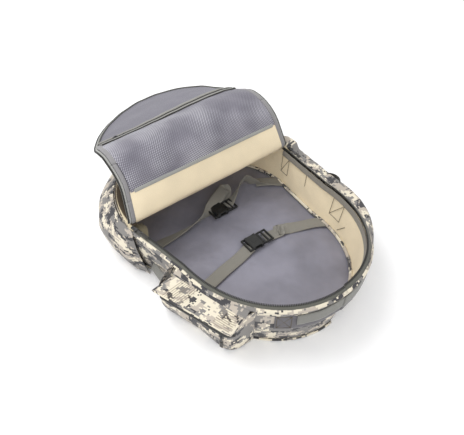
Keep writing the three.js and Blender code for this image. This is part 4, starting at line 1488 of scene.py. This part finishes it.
def build_top_band(label, side):
    """Webbing sewn round the top end of the wall: a wide patch, a narrow fold on it and a box stitch."""
    z, width = TOP_BAND_Z, TOP_BAND_WIDTH
    band, path, ups = wall_band(f"top_band_{label}", 2.575, 2.999, side, z - 2 * MM, width + 3 * MM,
                                2.4 * MM, PATCH_WEBBING)
    attach(band, "webbing", "pack", f"top_webbing_{label}")
    over = wall_band(f"top_band_fold_{label}", 2.7, 2.999, side, z + 4 * MM, width - 11 * MM,
                     4.3 * MM, LIGHT_WEBBING)[0]
    attach(over, "webbing", "pack")
    along = (path[6] - path[0]).normalized()
    across = Vector((0, 0, 1))
    corner = path[0] + along * 3 * MM - across * 15 * MM + ups[3] * 1.4 * MM
    box_stitch(f"top_band_stitch_{label}", corner, along, across, ups[3], 24 * MM, 30 * MM, "pack")


def build_pouch_bridge():
    """The strap that hangs between the corner pocket and the pouch."""
    start = on_wall(BRIDGE_START[0], -1, 0.5 * MM, BRIDGE_START[1])
    end = lean(BRIDGE_END)
    path, ups = [], []
    for k in range(25):
        t = k / 24
        sag = Vector((0, -1.5 * MM, -3 * MM)) * math.sin(math.pi * t)
        path.append(start.lerp(end, t) + sag)
        ups.append(Vector((-0.45, -0.65, 0.55 - 0.25 * t)).normalized())
    bridge = sweep("pouch_bridge", path, ups, flat_section(17 * MM, 1.8 * MM, 0.3 * MM), LIGHT_WEBBING)
    attach(bridge, "webbing", "pack", "pouch_webbing")


def build_far_loop():
    """A dark tab that bulges from the far wall below the rim."""
    centre = on_wall(1.98, 1, 19 * MM, 94 * MM)
    along = Vector((1, -0.12, 0)).normalized()
    out = rim_normal(1.98, 1)
    path = [centre + along * (k - 9) * 1.9 * MM + out * 10 * MM * math.sin(math.pi * k / 18) ** 0.6
            for k in range(19)]
    ups = []
    for k in range(19):
        run = path[min(k + 1, 18)] - path[max(k - 1, 0)]
        ups.append(Vector((-run.y, run.x, 0)).normalized())
    loop = sweep("far_wall_loop", path, ups, flat_section(22 * MM, 1.8 * MM), DARK_TAPE)
    attach(loop, "webbing", "pack")


def build_side_webbing():
    for label, side in SIDES:
        build_top_band(label, side)
    build_pouch_bridge()
    build_far_loop()


# ---------------------------------------------------------------- straps inside
def smooth_path(points, count):
    """Catmull-Rom through points given in millimetres."""
    pts = [Vector(p) * MM for p in points]
    pts = [pts[0] * 2 - pts[1]] + pts + [pts[-1] * 2 - pts[-2]]
    made = []
    for i in range(1, len(pts) - 2):
        a, b, c, d = pts[i - 1:i + 3]
        for k in range(12):
            t = k / 12
            made.append(0.5 * ((2 * b) + (c - a) * t + (2 * a - 5 * b + 4 * c - d) * t * t
                               + (3 * b - a - 3 * c + d) * t ** 3))
    made.append(pts[-2])
    return resample(made, count)


def strap(name, points, normals, width, node=None, count=70, material=None):
    path = smooth_path(points, count)
    given = smooth_path([(n[0] * 1000, n[1] * 1000, n[2] * 1000) for n in normals], count)
    made = sweep(name, path, [n.normalized() for n in given], flat_section(width, 1.7 * MM, 0.2 * MM),
                 material or STRAP_WEB)
    attach(made, "webbing", "pack", node)
    return made, path


UP = (0, 0, 1)


# Each strap inside: its name, points in millimetres, facings, width, CAD node and number of steps.
INSIDE_STRAPS = [
    ("strap_a_tab",
     [(-66, 178, 23), (-80, 160, 25), (-94, 140, 24.5), (-101, 130, 23)],
     [UP] * 4, 27, None, 70),
    ("strap_a_twist",
     [(-70, 172, 21.5), (-88, 147, 22), (-97, 133, 23), (-104, 122, 30), (-116, 112, 36), (-110, 92, 34),
      (-96, 66, 31), (-84, 42, 27), (-77, 28, 27)],
     [UP, UP, (-0.3, 0.2, 0.9), (-0.9, 0.3, 0.4), (-0.9, -0.5, 0.3), (-0.9, -0.45, 0.3), (-0.8, -0.4, 0.5),
      (-0.4, -0.2, 0.9), UP],
     23, "strap_a_far", 110),
    ("strap_a_loop",
     [(-76, -168, 24), (-78, -130, 22.5), (-79, -80, 23), (-82, -34, 27), (-96, 6, 34), (-114, 44, 36),
      (-120, 56, 33), (-113, 52, 27), (-100, 28, 25), (-85, 2, 26)],
     [UP, UP, UP, (-0.1, -0.1, 1), (-0.15, -0.1, 1), (-0.4, 0.3, 0.9), (-0.7, 0.9, -0.1), (-0.1, 0.1, -1),
      (0, 0, -1), (0, 0, -1)],
     26, "strap_a_near", 120),
    ("strap_b_drape",
     [(84, 158, 24), (71, 138, 23.5), (57, 104, 23), (47, 78, 25), (41, 62, 27), (46, 70, 23),
      (43, 52, 22.5), (39, 30, 24)],
     [UP, UP, UP, UP, (-0.3, -0.9, 0.2), (0, 0, 1), UP, UP], 26, "strap_b_far", 110),
    ("strap_b_tail",
     [(42, -8, 25), (49, -44, 22.5), (56, -84, 24), (63, -120, 23.5), (69, -152, 26)],
     [UP] * 5, 26, "strap_b_near", 70),
]


def build_inside_straps():
    for name, points, facings, width, node, steps in INSIDE_STRAPS:
        strap(name, points, facings, width * MM, node, steps)


# ---------------------------------------------------------------- moulded and cast parts
class Seat:
    """A place to build a small part: an origin with its own X along the part and Z up from it."""

    def __init__(self, origin, along, up):
        self.origin = origin
        self.x = along.normalized()
        self.y = up.cross(self.x).normalized()
        self.z = self.x.cross(self.y).normalized()

    def at(self, x, y, z):
        return self.origin + (self.x * x + self.y * y + self.z * z) * MM


def inset_loop(loop, amount):
    """A closed outline in millimetres, moved inwards."""
    made = []
    for i, (x, y) in enumerate(loop):
        before, after = loop[i - 1], loop[(i + 1) % len(loop)]
        run = Vector((after[0] - before[0], after[1] - before[1]))
        normal = Vector((-run.y, run.x)).normalized() if run.length else Vector((0, 0))
        made.append((x + normal.x * amount, y + normal.y * amount))
    return made


def rounded(points, radius=1.2, steps=4):
    """An outline with each corner rounded; corners are given anticlockwise, in millimetres."""
    made = []
    for i, corner in enumerate(points):
        corner = Vector(corner)
        before, after = Vector(points[i - 1]), Vector(points[(i + 1) % len(points)])
        room = min(radius, (before - corner).length * 0.45, (after - corner).length * 0.45)
        a = corner + (before - corner).normalized() * room
        b = corner + (after - corner).normalized() * room
        for k in range(steps + 1):
            t = k / steps
            made.append(tuple(a * (1 - t) ** 2 + corner * 2 * t * (1 - t) + b * t * t))
    return made


def plate(seat, outline, z0, z1, material, edge=0.5):
    """A solid plate with softened edges."""
    inner = inset_loop(outline, edge)
    layers = [(inner, z0), (outline, z0 + edge), (outline, z1 - edge), (inner, z1)]
    points = [seat.at(x, y, z) for loop, z in layers for x, y in loop]
    n = len(outline)
    faces = []
    for k in range(3):
        for i in range(n):
            j = (i + 1) % n
            faces.append((k * n + i, k * n + j, (k + 1) * n + j, (k + 1) * n + i))
    faces.append(tuple(range(n - 1, -1, -1)))
    faces.append(tuple(range(3 * n, 4 * n)))
    uvs = [(points[k].x, points[k].y) for face in faces for k in face]
    made = make_object("plate", points, faces, uvs, material)
    made.data.shade_flat()
    return made


def bar(seat, x0, x1, y0, y1, z0, z1, material, radius=1.0, edge=0.5):
    return plate(seat, rounded([(x0, y0), (x1, y0), (x1, y1), (x0, y1)], radius), z0, z1, material, edge)


def bars(seat, rows):
    """Moulded bars from rows of x0, x1, y0, y1, z0, z1 and, where needed, radius and edge."""
    return [bar(seat, *row[:6], PLASTIC, *row[6:]) for row in rows]


def finish_part(name, parts, nodes, slot, body):
    made = join(name, parts)
    attach(made, slot, body, *nodes)
    return made


def node_seat(node, along, up):
    """A seat in the middle of a node's box, at its underside."""
    low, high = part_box(node)
    centre = (Vector(low) + Vector(high)) / 2
    return centre, Seat(centre, along, up)


def build_slider(label, along, up, size, shift=Vector((0, 0, 0))):
    """The slider's body: two waisted plates, the post between them, and the bridge that holds the pull."""
    length, width, height = size
    _, seat = node_seat(f"{label}_slider", along, up)
    seat.origin += shift
    h, w, half = height / 2, width / 2, length / 2
    waisted = rounded([(-half, -w * 0.75), (0, -w * 0.6), (half, -w), (half, w), (0, w * 0.6),
                       (-half, w * 0.75)], 1.6)
    parts = [plate(seat, waisted, low * h, high * h, METAL, 0.35) for low, high in ((-1, -0.35), (0.1, 0.7))]
    parts.append(bar(seat, -1.5, half * 0.8, -1.0, 1.0, -h * 0.4, h * 0.2, METAL, 0.4, 0.2))
    path = [seat.at(-half * 0.7 + half * 1.4 * k / 12, 0, h * 0.55 + 1.6 * math.sin(math.pi * k / 12))
            for k in range(13)]
    parts.append(sweep("bridge", path, [seat.y] * 13, flat_section(1.3 * MM, 2.2 * MM, steps=2), METAL))
    finish_part(f"{label}_slider_cast", parts, [f"{label}_slider"], "metal", f"{label}_slider")
    build_pull(label, along, up, shift)


def build_pull(label, along, up, shift):
    """A metal plate with a ring, and a short cord."""
    _, pull = node_seat(f"{label}_pull", along, up)
    pull.origin += shift
    reach = 27.6 / 2
    parts = [plate(pull, rounded([(-reach, -2.0), (-reach + 9, -1.7), (-reach + 9, 1.7), (-reach, 2.0)], 0.8),
                   -0.8, 0.8, METAL, 0.3)]
    ring = [pull.at(-reach + 11.5 + 3.2 * math.cos(a), 3.0 * math.sin(a), 0)
            for a in [2 * math.pi * k / 24 for k in range(24)]]
    parts.append(sweep("ring", ring, [pull.z] * 24, round_section(0.75 * MM, 8), METAL, closed=True))
    cord = rounded([(-reach + 12, -2.3), (reach - 1, -3.3), (reach, -2), (reach, 2), (reach - 1, 3.3),
                    (-reach + 12, 2.3)], 1.5)
    parts.append(plate(pull, cord, -0.8, 0.9, DARK_TAPE, 0.4))
    finish_part(f"{label}_pull_cast", parts, [f"{label}_pull"], "metal", f"{label}_pull")


def build_sliders():
    def axis(name):
        return Vector(JOINTS[name]["axis"])

    for label in ("main_near", "main_far"):
        build_slider(label, axis(f"{label}_slide"), Vector((0, 0, 1)), (14, 9, 5))
    centre = node_seat("mesh_slider", axis("mesh_slide"), lid_inward(ZIP_AT))[0]
    shift = lid_point(ZIP_AT, centre.y, 7.5 * MM) - centre
    build_slider("mesh", axis("mesh_slide"), lid_inward(ZIP_AT), (12, 8, 4), shift)
    down = Vector((0, 0, -1))
    build_slider("pouch", down, axis("pouch_slide").cross(down), (9, 12, 4))


def build_buckle(letter):
    """Side-release buckle: a hollow socket open at its sides, and a male half with two sprung arms."""
    along = -Vector(JOINTS[f"buckle_{letter}_release"]["axis"])
    low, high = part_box(f"buckle_{letter}_female")
    # The socket runs from -4 to 30 along the buckle, so its middle is 13 from the seat.
    middle = (Vector(low) + Vector(high)) / 2
    seat = Seat(middle - along * 13 * MM, along, Vector((0, 0, 1)))
    z0, z1 = -5.0, 5.0
    parts = bars(seat, [
        (-4, 20, -15.5, 15.5, z1 - 2.0, z1, 5.0, 0.9),
        (-4, 20, -15.5, 15.5, z0, z0 + 2.0, 5.0, 0.9),
        (-4, 2, -17, -13.5, z0 + 0.6, z1 - 0.6, 1.2, 0.8),
        (-4, 2, 13.5, 17, z0 + 0.6, z1 - 0.6, 1.2, 0.8),
        (15, 22, -16.5, 16.5, z0 + 0.4, z1 - 0.4, 2.4, 1.0),
        (21, 30, -16.5, -13.4, -2.6, 2.6, 1.2, 0.8),
        (21, 30, 13.4, 16.5, -2.6, 2.6, 1.2, 0.8),
        (26.6, 30, -15.5, 15.5, -2.4, 2.4, 1.2, 0.8),
        (3, 14, -5, 5, z1 - 0.4, z1 + 0.5, 2.0, 0.4),
    ])
    finish_part(f"buckle_{letter}_socket", parts, [f"buckle_{letter}_female"], "plastic", "pack")
    parts = bars(seat, [
        (-10, -5.5, -15.5, 15.5, -3.0, 3.0, 1.6, 1.0),
        (-30, -9, -16, -13.2, -2.5, 2.5, 1.2, 0.8),
        (-30, -9, 13.2, 16, -2.5, 2.5, 1.2, 0.8),
        (-30, -26.8, -15.5, 15.5, -2.4, 2.4, 1.2, 0.8),
        (-20.5, -17, -14.5, 14.5, -2.0, 2.4, 1.2, 0.8),
        (-7, 9, -2.2, 2.2, -1.8, 1.8, 1.0, 0.5),
    ])
    for k in (-1, 1):
        arm = [(-7, 8.2), (4, 9.6), (8, 11.6), (13.5, 10.8), (14, 8.4), (8, 8.2), (2, 6.8), (-7, 5.8)]
        arm = [(x, k * y) for x, y in arm]
        if k > 0:
            arm = arm[::-1]
        parts.append(plate(seat, rounded(arm, 1.2), -2.2, 2.2, PLASTIC, 0.5))
    node = f"buckle_{letter}_male"
    finish_part(f"buckle_{letter}_prongs", parts, [node], "plastic", node)


def flat_strap(name, node, body, a, b, up, width, thickness=1.5, material=None, wave=0.5):
    path = []
    for k in range(31):
        t = k / 30
        lift = wave * ripple(t * 5, width * 300, 3.0) * math.sin(math.pi * t)
        path.append(a.lerp(b, t) + up * lift * MM)
    section = flat_section(width * MM, thickness * MM, 0.15 * MM)
    made = sweep(name, path, [up] * 31, section, material or WEBBING)
    attach(made, "webbing", body, node)


Z_UP = Vector((0, 0, 1))


def build_shoulder_strap(label):
    """A padded strap folded flat under the pack, with the webbing that runs on from it."""
    soft_pad(f"shoulder_strap_{label}_soft", f"shoulder_strap_{label}", "pack", PAD_CLOTH,
             0.0, inset=0.6 * MM, cap=2.5 * MM, floor=True)
    low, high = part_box(f"strap_webbing_{label}")
    y, z = (low.y + high.y) / 2, (low.z + high.z) / 2
    flat_strap(f"low_strap_{label}", f"strap_webbing_{label}", "pack", Vector((low.x, y, z)),
               Vector((high.x, y, z)), Z_UP, 25, wave=0.25)


def build_ladder_lock(label):
    """Three crossbars between two side bars."""
    node = f"ladder_lock_{label}"
    seat = node_seat(node, Vector((1, 0, 0)), Z_UP)[1]
    rows = [(a, b, -16, 16, -1.7, 1.7, 0.8, 0.5) for a, b in ((-13, -11.2), (-5.8, -1.2), (4.2, 13))]
    rows += [(-13, 13, a, b, -1.8, 1.8, 1.0, 0.6) for a, b in ((-16, -13), (13, 16))]
    finish_part(f"{node}_moulded", bars(seat, rows), [node], "plastic", node)


def build_sternum_side(label):
    """The slider on a shoulder strap, and its half of the sternum strap."""
    node, body = f"sternum_slider_{label}", f"sternum_{label}"
    seat = node_seat(node, Vector((1, 0, 0)), Z_UP)[1]
    parts = bars(seat, [(-8, 8, -4, 4, -2.8, 2.8, 1.6, 0.9), (-5, 5, -2.4, 2.4, 2.4, 3.3)])
    finish_part(f"{node}_moulded", parts, [node], "plastic", body)
    low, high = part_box(f"sternum_webbing_{label}")
    x, z = (low.x + high.x) / 2, (low.z + high.z) / 2
    flat_strap(f"sternum_strap_{label}", f"sternum_webbing_{label}", body,
               Vector((x, low.y, z)), Vector((x, high.y, z)), Z_UP, 19, 1.2, wave=0.0)


def build_sternum_buckle():
    """A flat socket open at its sides, and a plate with two prongs and a guide between them."""
    along = Vector((0, 1, 0))
    seat = node_seat("sternum_buckle_female", along, Z_UP)[1]
    parts = bars(seat, [
        (-12.5, 12.5, -12, 12, 1.0, 2.1, 3.0, 0.5),
        (-12.5, 12.5, -12, 12, -2.1, -1.0, 3.0, 0.5),
        (-12.5, -3, -12, 12, -1.4, 1.4, 2.0, 0.4),
        (8, 12.5, -12, -9.2, -1.6, 1.6, 1.0, 0.4),
        (8, 12.5, 9.2, 12, -1.6, 1.6, 1.0, 0.4),
    ])
    finish_part("sternum_socket", parts, ["sternum_buckle_female"], "plastic", "sternum_near")
    seat = node_seat("sternum_buckle_male", along, Z_UP)[1]
    rows = [(2.5, 10.5, -11, 11, -0.9, 0.9, 1.5, 0.4)]
    rows += [(-10.5, 4, k * 5 - 2.2, k * 5 + 2.2, -0.8, 0.8, 1.5, 0.4) for k in (-1, 1)]
    rows.append((-6, 4, -1.4, 1.4, -0.7, 0.7, 0.8, 0.3))
    finish_part("sternum_prongs", bars(seat, rows), ["sternum_buckle_male"], "plastic", "sternum_male")


def build_grab_loop():
    low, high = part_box("grab_handle")
    x0, x1 = low.x * 1000 + 3.5, high.x * 1000 - 3
    loop = rounded([(x0, -21.5), (x1, -21.5), (x1, 21.5), (x0, 21.5)], 12, 10)
    path = [Vector((x, y, 4.0)) * MM for x, y in loop]
    section = flat_section(8 * MM, 3.2 * MM, 0.5 * MM)
    handle = sweep("grab_loop", path, [Z_UP] * len(path), section, WEBBING, closed=True)
    attach(handle, "webbing", "grab_handle", "grab_handle")


def build_harness():
    for node in ("lumbar_pad", "spine_pad", "upper_back_pad"):
        soft_pad(f"{node}_soft", node, "pack", PAD_CLOTH, 0.0, cap=5 * MM, floor=True)
    for label in ("near", "far"):
        build_shoulder_strap(label)
        build_ladder_lock(label)
        build_sternum_side(label)
    build_sternum_buckle()
    build_grab_loop()


# ---------------------------------------------------------------- camera, floor and light
def build_camera():
    azimuth, elevation = math.radians(51.2), math.radians(44.4)
    distance, focal_pixels, image_width = 923.6 * MM, 479.6, 464
    target = Vector((-1.7, -18.8, 80)) * MM
    back = Vector((
        math.sin(azimuth) * math.cos(elevation),
        -math.cos(azimuth) * math.cos(elevation),
        math.sin(elevation),
    ))
    data = bpy.data.cameras.new("camera")
    data.sensor_width = 36.0
    data.lens = data.sensor_width * focal_pixels / image_width
    data.clip_start, data.clip_end = 0.01, 20
    camera = bpy.data.objects.new("camera", data)
    camera.location = target + back * distance
    camera.rotation_euler = (-back).to_track_quat("-Z", "Y").to_euler()
    bpy.context.scene.collection.objects.link(camera)
    bpy.context.scene.camera = camera


def build_stage():
    paint = Paint("pale_floor")
    grain = paint.noise(paint.coords.outputs["Object"], 30.0)
    color = paint.mix(grain, (0.93, 0.93, 0.94, 1), (0.97, 0.97, 0.97, 1))
    paint.link(color, paint.shader.inputs["Base Color"])
    paint.shader.inputs["Roughness"].default_value = 0.9
    mesh = bpy.data.meshes.new("floor")
    size = 6.0
    corners = [(-size, -size, 0), (size, -size, 0), (size, size, 0), (-size, size, 0)]
    mesh.from_pydata(corners, [], [(0, 1, 2, 3)])
    mesh.materials.append(paint.material)
    floor = bpy.data.objects.new("floor", mesh)
    floor.location.z = -0.4 * MM
    bpy.context.scene.collection.objects.link(floor)


def add_light(name, place, target, size, watts):
    data = bpy.data.lights.new(name, "AREA")
    data.energy = watts
    data.size = size
    light = bpy.data.objects.new(name, data)
    light.location = place
    light.rotation_euler = (Vector(target) - Vector(place)).to_track_quat("-Z", "Y").to_euler()
    bpy.context.scene.collection.objects.link(light)


def build_lights():
    world = bpy.data.worlds.new("studio")
    world.use_nodes = True
    world.node_tree.nodes["Background"].inputs[0].default_value = (1, 1, 1, 1)
    world.node_tree.nodes["Background"].inputs[1].default_value = 0.92
    bpy.context.scene.world = world
    bpy.context.scene.view_settings.view_transform = "Standard"
    add_light("key", (-0.9, -0.5, 1.9), (0, 0, 0.05), 1.2, 20)
    add_light("fill", (1.3, -1.5, 1.3), (0, 0, 0.05), 1.8, 15)


build_camera()
build_stage()
build_lights()
build_gusset()
build_wall_stitching()
build_rim_zipper()
build_lower_front()
build_lid()
build_lid_bands()
build_lid_edges()
build_lid_webbing()
for pocket_label, pocket_side in SIDES:
    build_corner_pocket(pocket_label, pocket_side)
build_pouch()
build_flap()
build_side_webbing()
build_inside_straps()
build_far_roll()
build_deck_edge()
build_hinge_gusset()
build_sliders()
build_buckle("a")
build_buckle("b")
build_harness()
soft_pad("floor_pad", "back_panel", "pack", FLOOR_CLOTH, 1.6 * MM, cap=0.6 * MM)
